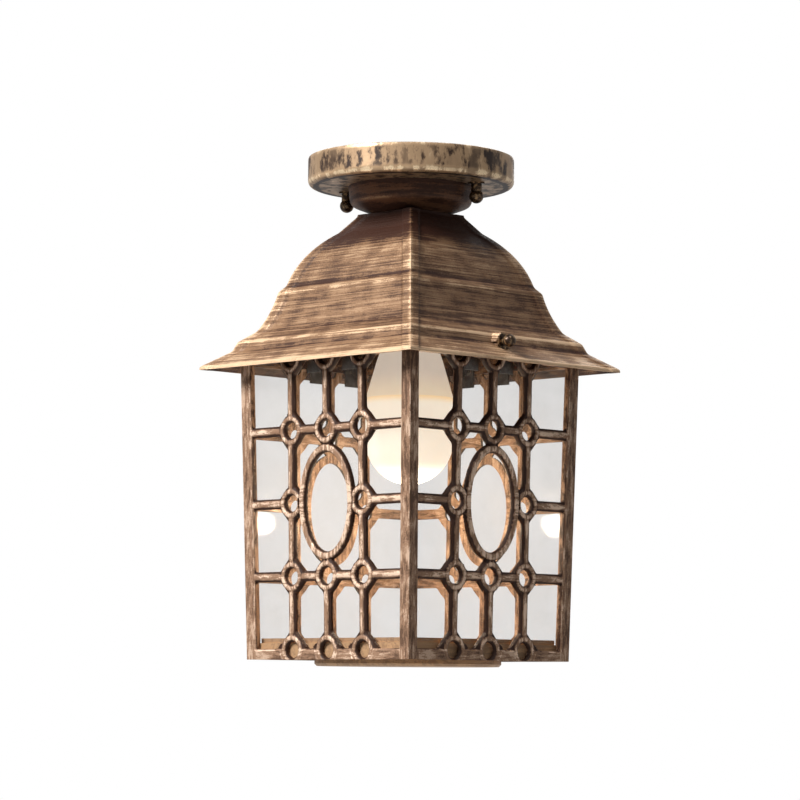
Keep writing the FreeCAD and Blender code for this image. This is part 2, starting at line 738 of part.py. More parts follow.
def thumb_screws():
    """Drawn standing on the middle of the collar's face, then laid along X."""
    face = "thumb_boss_half"
    out = "(thumb_boss_half + thumb_washer_height)"
    shank = "thumb_shank_diameter / 2"
    neck = "thumb_neck_diameter / 2"
    ball = "thumb_ball_diameter / 2"
    join = f"(sqrt(({ball}) ^ 2 - ({neck}) ^ 2))"
    centre = f"({out} + thumb_neck_height + {join})"
    screw = turned_piece("thumb_screw", [
        ("0", "(collar_half + collar_play)"),
        (shank, "(collar_half + collar_play)"),
        (shank, out),
        (neck, out),
        (neck, f"({out} + thumb_neck_height)"),
        (ball, centre),
        ("0", f"({centre} + {ball})"),
    ], {4: (ball, "left"), 5: (ball, "left")})
    washer = turned_piece("thumb_washer", [
        ("(thumb_shank_diameter / 2 + hole_play)", face),
        ("thumb_washer_radius", face),
        ("thumb_washer_radius", out),
        ("(thumb_shank_diameter / 2 + hole_play)", out),
    ])
    for side, angle in (("right", "90"), ("left", "-90")):
        for source, name in ((screw, "thumb_screw"), (washer, "thumb_screw_washer")):
            piece = copy_at(source, f"{name}_{side}", z=THUMB_LEVEL, axis=V(0, 1, 0), angle=angle)
            node(piece, f"{name}_{side}")


# ------------------------------------------------------------- cast frets

# A fret is drawn flat: x across, z down from its top edge, y into the cage
# from its outer face. Then it leans with its side of the cage.

BAR_SHOULDER = "(bar_recess + bar_crown)"
CROWN_RADIUS = "(((bar_width / 2) ^ 2 + bar_crown ^ 2) / (2 * bar_crown))"
RING_CROWN = ("((((ring_radius - ring_hole_radius) / 2) ^ 2 + bar_crown ^ 2)"
              " / (2 * bar_crown))")
ROWS = 5
ROW_PITCH = f"((fret_height - row_first - row_last) / {ROWS - 1})"
OVAL_HALF_HEIGHT = f"({ROW_PITCH} - ring_radius + oval_bite)"
BARS = (-1, 0, 1)
MIDDLE_ROW = 2
SIDES = (("front", 0), ("right", 90), ("back", 180), ("left", 270))


def row_level(row):
    return f"(-row_first - {row} * {ROW_PITCH})"


def fret_frame():
    """Corner posts and rails: a tapering plate with its window cut out."""
    body = new_body("fret_frame")
    spare = "post_width"
    plate = [
        (f"-(cage_top_half + {spare})", "0"),
        (f"-(cage_foot_half + {spare})", "-fret_height"),
        (f"(cage_foot_half + {spare})", "-fret_height"),
        (f"(cage_top_half + {spare})", "0"),
    ]
    pad(body, outline(body, "XZ_Plane", plate), "fret_depth", reverse=True)
    taper = "((cage_top_half - cage_foot_half) / fret_height)"
    top = f"(cage_top_half - post_width - top_rail_height * {taper})"
    foot = f"(cage_foot_half - post_width + foot_rail_height * {taper})"
    lower = "(-fret_height + foot_rail_height)"
    window = [
        (f"-{top}", "-top_rail_height"),
        (f"-{foot}", lower),
        (foot, lower),
        (top, "-top_rail_height"),
    ]
    hole = cut_through(body, outline(body, "XZ_Plane", window))
    document.recompute()
    edges = [
        f"Edge{number}"
        for number, edge in enumerate(hole.Shape.Edges, 1)
        if all(abs(v.Y) < NEAR and abs(v.X) < value(top) + NEAR for v in edge.Vertexes)
        and all(-value("fret_height") < v.Z < 0 for v in edge.Vertexes)
        and all(abs(v.Z) > NEAR and abs(v.Z + value("fret_height")) > NEAR for v in edge.Vertexes)
    ]
    bevel = body.newObject("PartDesign::Chamfer", "fret_window_bevel")
    bevel.Base = (hole, edges)
    bevel.setExpression("Size", bound("post_bevel"))
    body.Tip = bevel
    return body


def upright_bar():
    body = new_body("upright_bar")
    half = "bar_width / 2"
    corners = [
        (f"-{half}", "fret_depth"),
        (half, "fret_depth"),
        (half, BAR_SHOULDER),
        (f"-{half}", BAR_SHOULDER),
    ]
    sketch = outline(body, "XY_Plane", corners, {2: (CROWN_RADIUS, "right")})
    pad(body, sketch, "fret_height", reverse=True)
    return body


def level_bar():
    body = new_body("level_bar")
    half = "bar_width / 2"
    corners = [
        ("fret_depth", f"-{half}"),
        ("fret_depth", half),
        (BAR_SHOULDER, half),
        (BAR_SHOULDER, f"-{half}"),
    ]
    sketch = outline(body, "YZ_Plane", corners, {2: (CROWN_RADIUS, "left")})
    pad(body, sketch, "2 * (cage_foot_half - post_width / 2)", side="Symmetric")
    return body


def ring():
    """One ring with the square web that fills the corners at its bars."""
    body = new_body("ring")
    revolve(body, [
        ("ring_hole_radius", "-fret_depth"),
        ("ring_radius", "-fret_depth"),
        ("ring_radius", f"-{BAR_SHOULDER}"),
        ("ring_hole_radius", f"-{BAR_SHOULDER}"),
    ], {2: (RING_CROWN, "left")})
    reach = "(ring_radius * sqrt(2))"
    web = [(reach, "0"), ("0", reach), (f"-{reach}", "0"), ("0", f"-{reach}")]
    pad(body, outline(body, "XY_Plane", web, offset="-fret_depth"), "ring_web_depth")
    cut_through(body, circles(body, "XY_Plane", [("0", "0", "ring_hole_radius")]))
    return body


def oval_solid(label, inset, bevel, deep):
    """An upright oval block with a bevelled front edge, out of two ovals."""
    sections = []
    for name, change, level in (
        ("front", bevel, "0" if deep else "bar_recess"),
        ("shoulder", "0", BAR_SHOULDER),
        ("back", "0", "fret_depth"),
    ):
        oval = document.addObject("Part::Ellipse", f"{label}_{name}")
        oval.setExpression("MajorRadius", bound(f"{OVAL_HALF_HEIGHT} - {inset} + ({change})"))
        oval.setExpression("MinorRadius", bound(f"oval_half_width - {inset} + ({change})"))
        turn = FreeCAD.Rotation(V(0, 1, 0), 90) * FreeCAD.Rotation(V(1, 0, 0), 90)
        oval.Placement = FreeCAD.Placement(V(0, value(level), 0), turn)
        if level != "0":
            oval.setExpression("Placement.Base.y", bound(level))
        sections.append(oval)
    loft = document.addObject("Part::Loft", label)
    loft.Sections = sections
    loft.Solid = True
    loft.Ruled = True
    return place(loft, z=row_level(MIDDLE_ROW))


def fret_lattice():
    """Bars, rings and the oval as one casting, with the holes opened last."""
    upright = upright_bar()
    level = level_bar()
    one_ring = ring()
    members = [copy_at(upright, "bar_upright", x=f"{bar} * bar_pitch") for bar in BARS]
    for row in range(1, ROWS - 1):
        members.append(copy_at(level, "bar_level", z=row_level(row)))
    members.append(oval_solid("oval_outside", "0", "-oval_bevel", False))
    holes = [oval_solid("oval_inside", "oval_rim", "oval_bevel", True)]
    for row in range(ROWS):
        for bar in BARS:
            if (row, bar) == (MIDDLE_ROW, 0):
                continue
            where = {"x": f"{bar} * bar_pitch", "z": row_level(row), "axis": V(1, 0, 0)}
            members.append(copy_at(one_ring, "ring_copy", angle="90", **where))
            holes.append(cylinder("ring_hole", "ring_hole_radius", "fret_depth", angle="-90", **where))
    solid = fuse("lattice_solid", members)
    opened = cut("lattice_open", solid, group("lattice_holes", holes))
    frame = new_body("lattice_limit")
    limit = rectangle("cage_foot_half - post_width / 2", "0", "-fret_height")
    pad(frame, outline(frame, "XZ_Plane", limit), "fret_depth", reverse=True)
    return common("lattice", [opened, frame])


def leaning(piece):
    """Stands a flat piece of the front side at its place and lean."""
    return place(piece, y="-cage_top_half", z=FRET_TOP, axis=V(1, 0, 0), angle=LEAN)


def on_each_side(source, name):
    for side, angle in SIDES:
        node(copy_at(source, f"{name}_{side}", angle=str(angle)), f"{name}_{side}")


def frets():
    flat = leaning(fuse("fret_flat", [fret_frame(), fret_lattice()]))
    wedge = new_body("mitre_wedge")
    reach = "roof_eave_half"
    gap = "(fret_mitre_gap * sqrt(2))"
    corners = [("0", f"-{gap}"), (reach, f"-({reach} + {gap})"), (f"-{reach}", f"-({reach} + {gap})")]
    pad(wedge, outline(wedge, "XY_Plane", corners), "2 * fret_height", reverse=True)
    holes = []
    for level, seat in ((UPPER_SCREWS, "cage_top_half"), (LOWER_SCREWS, "cage_foot_half")):
        for way in ("", "-"):
            holes.append(cylinder(
                "screw_hole", "cage_screw_diameter / 2 + thread_play", "2 * fret_depth",
                x=f"{way}cage_screw_offset", y=f"-({seat} - fret_depth + cage_screw_bite)",
                z=level, axis=V(1, 0, 0), angle="-90",
            ))
    mitred = common("fret_mitred", [flat, wedge])
    on_each_side(cut("fret_drilled", mitred, group("screw_holes", holes)), "fret")


# ---------------------------------------------------------- glass and clips


def glass():
    """Each pane lies on the back of its fret and stands on the floor."""
    body = new_body("pane")
    taper = "((cage_top_half - cage_foot_half) / fret_height)"
    inset = "(fret_depth + glass_thickness + glass_corner_gap)"
    upper = "(collar_leg_height - collar_play + glass_edge_gap)"
    foot = f"-{FLOOR_DEPTH} + glass_edge_gap"
    foot_half = f"(cage_top_half - {FLOOR_DEPTH} * {taper} - {inset})"
    corners = [
        (f"-(cage_top_half - {upper} * {taper} - {inset})", f"-{upper}"),
        (f"-({foot_half})", foot),
        (foot_half, foot),
        (f"(cage_top_half - {upper} * {taper} - {inset})", f"-{upper}"),
    ]
    sketch = outline(body, "XZ_Plane", corners, offset="-fret_depth")
    pad(body, sketch, "glass_thickness", reverse=True)
    on_each_side(leaning(body), "glass")


def collar():
    """A square ring: its upper part stands in the roof, its leg behind the
    top rails of the frets."""
    body = new_body("cage_collar")
    leg_half = "(collar_half - collar_leg_inset)"
    seat = f"({FRET_TOP} + collar_play)"
    pad(body, outline(body, "XY_Plane", square("collar_half"), offset=seat),
        "collar_height - collar_play")
    pad(body, outline(body, "XY_Plane", square(leg_half), offset=seat),
        "collar_leg_height + collar_play", reverse=True)
    cut_through(body, outline(body, "XY_Plane", square("(collar_half - collar_wall)")))
    for plane in ("XZ_Plane", "YZ_Plane"):
        hole = "cage_screw_diameter / 2 + hole_play"
        rounds = [(f"{way}cage_screw_offset", UPPER_SCREWS, hole) for way in ("", "-")]
        cut_through(body, circles(body, plane, rounds))
    node(body, "cage_collar")


def cage_screws(label, seat, length, level):
    """Two small screws on each side that point outwards into the frets."""
    radius = "cage_screw_diameter / 2"
    screw = turned_piece(f"{label}_one", [
        ("0", "cage_screw_head_height"),
        ("cage_screw_head / 2", "cage_screw_head_height"),
        ("cage_screw_head / 2", "0"),
        (radius, "0"),
        (radius, f"-({length})"),
        ("0", f"-({length})"),
    ])
    pair = [
        copy_at(screw, f"{label}_copy", x=f"{way}cage_screw_offset", y=f"-({seat})", z=level,
                axis=V(1, 0, 0), angle="-90")
        for way in ("", "-")
    ]
    front = group(f"{label}_front", pair)
    around = [copy_at(front, f"{label}_{side}", angle=str(angle)) for side, angle in SIDES]
    node(group(label, around), label)


def collar_screws():
    seat = "(collar_half - collar_wall - clip_thickness)"
    length = f"cage_top_half - fret_depth + cage_screw_bite - thread_play - {seat}"
    cage_screws("collar_screws", seat, length, UPPER_SCREWS)


def floor_screws():
    seat = f"({FLOOR_HALF} - floor_flange_wall)"
    length = f"cage_foot_half - fret_depth + cage_screw_bite - thread_play - {seat}"
    cage_screws("floor_screws", seat, length, LOWER_SCREWS)


def glass_clips():
    """Spring plates under the collar screws that hold the panes' top edges."""
    clips = []
    for way in ("", "-"):
        body = new_body("glass_clip")
        middle = f"{way}cage_screw_offset"
        top = f"({UPPER_SCREWS} + cage_screw_head / 2)"
        foot = f"({top} - clip_length)"
        corners = [
            (f"({middle} - clip_width / 2)", top),
            (f"({middle} - clip_width / 2)", foot),
            (f"({middle} + clip_width / 2)", foot),
            (f"({middle} + clip_width / 2)", top),
        ]
        sketch = outline(body, "XZ_Plane", corners, offset="(collar_half - collar_wall)")
        pad(body, sketch, "clip_thickness", reverse=True)
        hole = "cage_screw_diameter / 2 + hole_play"
        cut_through(body, circles(body, "XZ_Plane", [(middle, UPPER_SCREWS, hole)]))
        clips.append(body)
    front = group("glass_clips_front", clips)
    around = [copy_at(front, f"glass_clips_{side}", angle=str(angle)) for side, angle in SIDES]
    node(group("glass_clips", around), "glass_clips")


def floor_plate():
    """The floor with its flange, a bead inside the panes and a round dish."""
    body = new_body("floor_plate")
    under = f"({FLOOR_TOP} - floor_flange_height)"
    inner = f"({FLOOR_HALF} - floor_flange_wall)"
    bead = "(cage_foot_half - fret_depth - glass_thickness - floor_gap)"
    bead_top = f"({FLOOR_TOP} + floor_bead_height)"
    pad(body, outline(body, "XY_Plane", square(FLOOR_HALF), offset=under), "floor_flange_height")
    hollow = outline(body, "XY_Plane", square(inner), offset=under)
    pocket(body, hollow, "floor_flange_height - floor_thickness", upward=True)
    pad(body, outline(body, "XY_Plane", square(bead), offset=FLOOR_TOP), "floor_bead_height")
    inside_bead = outline(body, "XY_Plane", square(f"({bead} - floor_bead_width)"), offset=bead_top)
    pocket(body, inside_bead, "floor_bead_height", upward=False)
    dish = circles(body, "XY_Plane", [("0", "0", "dish_radius")], offset=FLOOR_TOP)
    pad(body, dish, "dish_drop", reverse=True)
    basin = circles(body, "XY_Plane", [("0", "0", "dish_radius - dish_wall")], offset=FLOOR_TOP)
    pocket(body, basin, "dish_drop - dish_wall", upward=False)
    for plane in ("XZ_Plane", "YZ_Plane"):
        hole = "cage_screw_diameter / 2 + hole_play"
        rounds = [(f"{way}cage_screw_offset", LOWER_SCREWS, hole) for way in ("", "-")]
        last = cut_through(body, circles(body, plane, rounds))
    document.recompute()
    rim = [
        f"Edge{number}"
        for number, edge in enumerate(last.Shape.Edges, 1)
        if abs(edge.BoundBox.ZMax - value(FLOOR_TOP) + value("dish_drop")) < NEAR
        and abs(edge.BoundBox.XMax - value("dish_radius")) < NEAR
    ]
    bevel = body.newObject("PartDesign::Chamfer", "dish_rim_bevel")
    bevel.Base = (last, rim)
    bevel.setExpression("Size", bound("dish_bevel"))
    body.Tip = bevel
    node(body, "floor_plate")


# ------------------------------------------------------------ lamp holder


def lamp_holder():
    stem = "(contact_stem_radius + thread_play)"
    cone = f"({HOLDER_TOP} - holder_cap_cone)"
    cap = turned_piece("holder_cap", [
        (TUBE_THREAD, HOLDER_TOP),
        ("holder_cap_radius", HOLDER_TOP),
        ("holder_radius", cone),
        ("holder_radius", HOLDER_SPLIT),
        ("(holder_radius - holder_wall)", HOLDER_SPLIT),
        ("(holder_radius - holder_wall)", f"({cone} - holder_cap_miter)"),
        ("(holder_cap_radius - holder_cap_miter)", f"({HOLDER_TOP} - holder_wall)"),
        (TUBE_THREAD, f"({HOLDER_TOP} - holder_wall)"),
    ])
    node(cap, "holder_cap")
    bore = "(shell_radius + hole_play)"
    body = turned_piece("holder_body", [
        (stem, HOLDER_SPLIT),
        ("holder_radius", HOLDER_SPLIT),
        ("holder_mouth_radius", HOLDER_MOUTH),
        (bore, HOLDER_MOUTH),
        (bore, HOLDER_FLOOR),
        (stem, HOLDER_FLOOR),
    ])
    hole = "holder_screw_diameter / 2 + thread_play"
    rounds = [(f"{way}holder_screw_radius", "0", hole) for way in ("", "-")]
    cut_through(body, circles(body, "XY_Plane", rounds))
    strap_node(body, "holder_body")
    shell_end = f"({HOLDER_MOUTH} + shell_inset)"
    node(turned_piece("screw_shell", [
        ("(shell_radius - shell_wall)", HOLDER_FLOOR),
        ("shell_radius", HOLDER_FLOOR),
        ("shell_radius", shell_end),
        ("(shell_radius - shell_wall)", shell_end),
    ]), "screw_shell")
    stem_top = f"({HOLDER_SPLIT} + contact_stem_end)"
    node(turned_piece("centre_contact", [
        ("0", CONTACT_FACE),
        ("contact_radius", CONTACT_FACE),
        ("contact_radius", HOLDER_FLOOR),
        ("contact_stem_radius", HOLDER_FLOOR),
        ("contact_stem_radius", stem_top),
        ("0", stem_top),
    ]), "centre_contact")
    head = f"({HOLDER_SPLIT} + holder_screw_head_height)"
    tip = f"({HOLDER_SPLIT} - holder_screw_length)"
    screw = turned_piece("holder_screw", [
        ("0", head),
        ("holder_screw_head / 2", head),
        ("holder_screw_head / 2", HOLDER_SPLIT),
        ("holder_screw_diameter / 2", HOLDER_SPLIT),
        ("holder_screw_diameter / 2", tip),
        ("0", tip),
    ])
    pair = [copy_at(screw, "holder_screw_copy", x=f"{way}holder_screw_radius") for way in ("", "-")]
    strap_node(group("holder_screws", pair), "holder_screws")


# ------------------------------------------------------------------- bulb


def bulb():
    tip = f"({CONTACT_FACE} - bulb_contact_gap)"
    tip_foot = f"({tip} - bulb_tip_height)"
    cap_top = f"({tip_foot} - bulb_insulator_height)"
    cap_foot = f"({cap_top} - bulb_cap_height)"
    cap = "(shell_radius - shell_wall - bulb_play)"
    waist = f"({cap_foot} - bulb_housing_flare)"
    seam = f"({cap_foot} - bulb_housing_height)"
    ball = f"({seam} - bulb_diffuser_height + bulb_radius)"
    low = f"({seam} - bulb_diffuser_height)"
    node(turned_piece("bulb_contact", [
        ("0", tip),
        ("bulb_tip_flat", tip),
        ("bulb_tip_radius", f"({tip} - bulb_tip_slope)"),
        ("bulb_tip_radius", tip_foot),
        ("0", tip_foot),
    ]), "bulb_contact")
    node(turned_piece("bulb_insulator", [
        ("0", tip_foot),
        ("bulb_tip_radius + bulb_wall / 2", tip_foot),
        ("bulb_insulator_radius", cap_top),
        ("0", cap_top),
    ]), "bulb_insulator")
    node(turned_piece("bulb_cap", [
        ("bulb_insulator_radius", cap_top),
        (cap, f"({cap_top} - bulb_cap_taper)"),
        (cap, cap_foot),
        (f"({cap} - bulb_cap_wall)", cap_foot),
        (f"({cap} - bulb_cap_wall)", f"({cap_top} - bulb_cap_taper - bulb_cap_wall / 2)"),
        ("(bulb_insulator_radius - 2 * bulb_cap_wall)", cap_top),
    ]), "bulb_cap")
    node(turned_piece("bulb_housing", [
        ("bulb_housing_neck", cap_foot),
        ("bulb_housing_waist", waist),
        ("bulb_radius", seam),
        ("(bulb_radius - bulb_wall)", seam),
        ("(bulb_housing_waist - bulb_wall)", waist),
        ("(bulb_housing_neck - 2 * bulb_wall)", cap_foot),
    ]), "bulb_housing")
    plate_radius = "(bulb_radius - bulb_wall - bulb_plate_gap)"
    node(turned_piece("bulb_light_board", [
        ("0", f"({seam} + bulb_plate_height)"),
        (plate_radius, f"({seam} + bulb_plate_height)"),
        (plate_radius, seam),
        ("0", seam),
    ]), "bulb_light_board")
    inner = "(bulb_radius - bulb_wall)"
    node(turned_piece("bulb_diffuser", [
        ("bulb_radius", seam),
        (inner, seam),
        (inner, ball),
        ("0", f"({low} + bulb_wall)"),
        ("0", low),
        ("bulb_radius", ball),
    ], {2: (inner, "right"), 4: ("bulb_radius", "left")}), "bulb_diffuser")


# ----------------------------------------------- terminal block and wires

POLES = {"earth": -1, "neutral": 0, "live": 1}
BEND_SHARE = 0.45  # of a wire's straight run, at most, for the bend at its end
SIDE_SHARE = 0.7  # of the way out to its pole, where a wire turns to the block
FRONT_SHARE = 0.58  # of the way to the block's front, at the same place
TUBE_RUN = 3  # wire widths below the tube, where a wire turns into it
POLE_RUN = 1.75  # wire widths before the block, where a wire is level
EARTH_RUN = 1.25  # the same for the earth wire
EARTH_DIP = 4  # wire widths before the block, where the earth wire crosses
BLOCK_TOP = f"({CANOPY_FLOOR} + block_height)"
WIRE_HOLES = f"({BLOCK_TOP} - block_hole_drop)"


def terminal_block():
    body = new_body("terminal_block")
    plate = rectangle("block_length / 2", "(block_offset + block_width / 2)",
                      "(block_offset - block_width / 2)")
    pad(body, outline(body, "XY_Plane", plate, offset=CANOPY_FLOOR), "block_height")
    rounds = [(f"{pole} * block_pitch", WIRE_HOLES, "block_hole_diameter / 2")
              for pole in POLES.values()]
    cut_through(body, circles(body, "XZ_Plane", rounds))
    spots = [(f"{pole} * block_pitch", f"(block_offset + {way} * block_screw_offset)")
             for pole in POLES.values() for way in (-1, 1)]
    rounds = [(x, y, "block_screw_diameter / 2 + thread_play") for x, y in spots]
    pocket(body, circles(body, "XY_Plane", rounds, offset=BLOCK_TOP), "block_hole_drop", upward=False)
    strap_node(body, "terminal_block")
    foot = f"({WIRE_HOLES} + wire_diameter / 2 + wire_gap)"
    screws = [
        cylinder("terminal_screw", "block_screw_diameter / 2",
                 f"{BLOCK_TOP} + block_screw_rise - {foot}", x=x, y=y, z=foot)
        for x, y in spots
    ]
    strap_node(group("terminal_screws", screws), "terminal_screws")


def earth_screw():
    under = "-bracket_thickness"
    head = "(-bracket_thickness - earth_screw_head_height)"
    screw = turned_piece("earth_screw_upright", [
        ("0", "0"),
        ("stud_diameter / 2", "0"),
        ("stud_diameter / 2", under),
        ("earth_screw_head / 2", under),
        ("earth_screw_head / 2", head),
        ("0", head),
    ])
    moved = copy_at(screw, "earth_screw_moved", x="-earth_screw_offset")
    strap_node(group("earth_screw", [moved]), "earth_screw")


def rounded_path(points):
    """Straight runs joined by arcs that touch them, each as large as its two
    runs allow; prints the least radius."""
    edges = []
    radii = []
    start = points[0]
    for before, corner, after in zip(points, points[1:], points[2:]):
        incoming = (corner - before).normalize()
        outgoing = (after - corner).normalize()
        half_turn = incoming.getAngle(outgoing) / 2
        reach = BEND_SHARE * min((corner - before).Length, (after - corner).Length)
        radius = reach / math.tan(half_turn)
        entry = corner - incoming * reach
        leave = corner + outgoing * reach
        bisector = (outgoing - incoming).normalize()
        middle = corner + bisector * (radius / math.cos(half_turn) - radius)
        edges.append(Part.LineSegment(start, entry).toShape())
        edges.append(Part.Arc(entry, middle, leave).toShape())
        radii.append(radius)
        start = leave
    edges.append(Part.LineSegment(start, points[-1]).toShape())
    return Part.Wire(edges), min(radii)


def wire(label, route):
    """A round wire along its route, points given as expressions."""
    points = [V(value(x), value(y), value(z)) for x, y, z in route]
    path, least = rounded_path(points)
    radius = value("wire_diameter / 2")
    section = Part.Wire(Part.Circle(points[0], points[1] - points[0], radius).toShape())
    solid = path.makePipeShell([section], True, False)
    expected = math.pi * radius**2 * path.Length
    print(f"{label}: length {path.Length:.1f}, least radius {least:.1f}, "
          f"volume over section times length {solid.Volume / expected:.4f}")
    feature = document.addObject("Part::Feature", label)
    feature.Shape = solid
    strap_node(feature, label)


def wires():
    """Live and neutral run from the holder up the tube and over to the block;
    earth runs from the block to its screw on the strap."""
    beside = "(holder_screw_radius - holder_screw_head / 2 - wire_diameter / 2 - wire_gap)"
    low = f"({HOLDER_SPLIT} + wire_diameter / 4)"
    high = f"(-bracket_thickness - wire_headroom - wire_diameter / 2)"
    tube_end = f"({HOLDER_TOP} - holder_wall - tube_end)"
    front = "(block_offset - block_width / 2)"
    for name, way in (("live", ""), ("neutral", "-")):
        pole = f"({POLES[name]} * block_pitch)"
        inside = f"{way}wire_offset"
        wire(f"{name}_wire", [
            (f"{way}{beside}", "0", low),
            (f"{way}{beside}", "0", f"({tube_end} - {TUBE_RUN} * wire_diameter)"),
            (inside, "0", f"({tube_end} - wire_diameter)"),
            (inside, "0", high),
            (f"({inside} + ({pole} - {inside}) * {SIDE_SHARE})", f"({front} * {FRONT_SHARE})", high),
            (pole, f"({front} - {POLE_RUN} * wire_diameter)", WIRE_HOLES),
            (pole, "block_offset", WIRE_HOLES),
        ])
    pole = f"({POLES['earth']} * block_pitch)"
    level = "(-bracket_thickness - wire_diameter / 2 - 3 * wire_gap)"
    wire("earth_wire", [
        (pole, "block_offset", WIRE_HOLES),
        (pole, f"({front} - {EARTH_RUN} * wire_diameter)", WIRE_HOLES),
        (f"({pole} - wire_diameter)", f"({front} - {EARTH_DIP} * wire_diameter)",
         f"(({WIRE_HOLES} + {level}) / 2)"),
        ("-earth_screw_offset", "(bracket_width / 2 - wire_diameter / 4)", level),
        ("-earth_screw_offset", "(earth_screw_head / 2 + wire_diameter / 2 + wire_gap)", level),
    ])


# ----------------------------------------------------------------- export


def export():
    document.recompute()
    for item in document.Objects:
        if "Invalid" in item.State or "Error" in item.State:
            raise RuntimeError(f"{item.Name} failed: {item.State}")
    for piece in nodes:
        shape = piece.Shape
        if shape.isNull() or not shape.isValid() or not shape.Solids:
            raise RuntimeError(f"{piece.Label} has no valid solid")
    os.makedirs("parts", exist_ok=True)
    for piece in nodes:
        piece.Shape.exportStep(f"parts/{piece.Label}.step")
    print(f"{len(nodes)} sub-parts written")


def main():
    fill_sheet()
    ceiling_bracket()
    bracket_studs()
    canopy()
    ball_nuts()
    neck_bowl()
    threaded_tube()
    tube_nuts_and_washers()
    roof()
    thumb_screws()
    frets()
    glass()
    collar()
    collar_screws()
    glass_clips()
    floor_plate()
    floor_screws()
    lamp_holder()
    bulb()
    terminal_block()
    earth_screw()
    wires()
    export()


main()
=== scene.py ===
# %% [markdown]
# # A porch ceiling lantern, dressed for its picture
# The lantern hangs from a ceiling. From the top down it is a round canopy, a
# small bowl, a square bell roof, and a tapering cage of four cast frets with a
# clear pane behind each, round one lit bulb. Its solids come as a frame, with
# every piece in its place, in metres. This script builds finer skins over the
# castings that show most, in the millimetres that the solids were drawn in, and
# gives every piece a finish. Each skin prints its size beside that of its solid.
# The frame is loaded first.

# %% Load the frame
import json
import math
import bpy
import numpy as np
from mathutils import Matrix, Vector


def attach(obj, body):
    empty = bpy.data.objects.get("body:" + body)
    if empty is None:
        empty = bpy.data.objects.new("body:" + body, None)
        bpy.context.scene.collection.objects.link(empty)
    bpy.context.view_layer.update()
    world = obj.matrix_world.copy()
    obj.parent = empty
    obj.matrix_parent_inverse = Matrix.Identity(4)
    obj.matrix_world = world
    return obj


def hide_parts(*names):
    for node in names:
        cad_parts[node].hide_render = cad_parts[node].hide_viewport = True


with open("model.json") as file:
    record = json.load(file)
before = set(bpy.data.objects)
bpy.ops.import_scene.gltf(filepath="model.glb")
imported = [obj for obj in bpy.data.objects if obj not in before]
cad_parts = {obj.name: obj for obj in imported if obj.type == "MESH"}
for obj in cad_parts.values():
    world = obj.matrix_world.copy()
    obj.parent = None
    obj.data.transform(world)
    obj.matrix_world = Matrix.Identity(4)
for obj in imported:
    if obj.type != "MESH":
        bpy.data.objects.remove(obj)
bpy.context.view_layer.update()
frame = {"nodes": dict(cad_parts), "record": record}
MM = 0.001

# %% [markdown]
# ## The camera
# The picture looks at the corner between the front and the right side, from a
# little below the lantern's middle. At 1.92 pixels per millimetre the lantern
# fills about five hundred pixels, and the distance sets how steeply the eave
# slopes. A camera could be shifted to keep the uprights parallel. Here it is
# tilted up a few degrees instead, because a shift would stay when other views
# turn the camera round.

# %% Camera
PHOTO_SIDE = 800
PHOTO_SCALE = 1.92 / MM
CAMERA_DISTANCE = 1.66
CAMERA_DROP = 0.2786
MIDDLE_DROP = 0.1276
AIM_ASIDE = 0.005
CAMERA_ROLL = 0.4
SENSOR = 36.0


def look_at(place, target, roll=0.0):
    """The turn that points an object's -Z axis from place to target."""
    away = (np.array(target) - np.array(place)).tolist()
    turn = Vector(away).to_track_quat("-Z", "Y").to_matrix()
    spin = Matrix.Rotation(math.radians(roll), 3, "Z")
    return (turn @ spin).to_euler()


DIAGONAL = math.sqrt(0.5)
toward = np.array([DIAGONAL, -DIAGONAL, 0.0])
sideways = np.array([DIAGONAL, DIAGONAL, 0.0])
aim = -AIM_ASIDE * sideways + [0, 0, -MIDDLE_DROP]
stand = -AIM_ASIDE * sideways + CAMERA_DISTANCE * toward + [0, 0, -CAMERA_DROP]
camera = bpy.data.objects.new("camera", bpy.data.cameras.new("camera"))
camera.data.sensor_width = SENSOR
camera.data.lens = SENSOR * PHOTO_SCALE * CAMERA_DISTANCE / PHOTO_SIDE
camera.location = stand
camera.rotation_euler = look_at(stand, aim, CAMERA_ROLL)
bpy.context.scene.collection.objects.link(camera)
bpy.context.scene.camera = camera
print("camera lens", round(camera.data.lens, 1), "mm")

# %% [markdown]
# ## Nodes without the wiring
# Materials, groups and the world are all trees of nodes. One helper adds a node
# and wires or sets its sockets in the same line, which keeps each finish short
# enough to read. The others add what nearly every finish needs.

# %% Node helpers


def put(tree, kind, sockets=None, **settings):
    """Adds a node; each socket, by name or number, is wired or set."""
    made = tree.nodes.new("ShaderNode" + kind)
    for key, setting in settings.items():
        setattr(made, key, setting)
    for key, given in (sockets or {}).items():
        if isinstance(given, bpy.types.NodeSocket):
            tree.links.new(given, made.inputs[key])
        else:
            made.inputs[key].default_value = given
    return made


def sum_of(tree, operation, *given, clamp=False):
    """One step of arithmetic on numbers that vary over the surface."""
    sockets = dict(enumerate(given))
    return put(tree, "Math", sockets, operation=operation, use_clamp=clamp).outputs[0]


def between(tree, factor, low, high):
    """A colour between two others, by a factor from 0 to 1."""
    mix = put(tree, "Mix", {0: factor, 6: low, 7: high}, data_type="RGBA")
    return mix.outputs[2]


def spread(tree, given, low, high, to_low=0.0, to_high=1.0):
    """Stretches a number's range low..high over to_low..to_high, eased at both ends."""
    sockets = {0: given, 1: low, 2: high, 3: to_low, 4: to_high}
    return put(tree, "MapRange", sockets, interpolation_type="SMOOTHSTEP").outputs[0]


def stretched(tree, vector, by):
    """Coordinates scaled along each axis by its own number."""
    return put(tree, "VectorMath", {0: vector, 1: by}, operation="MULTIPLY").outputs[0]


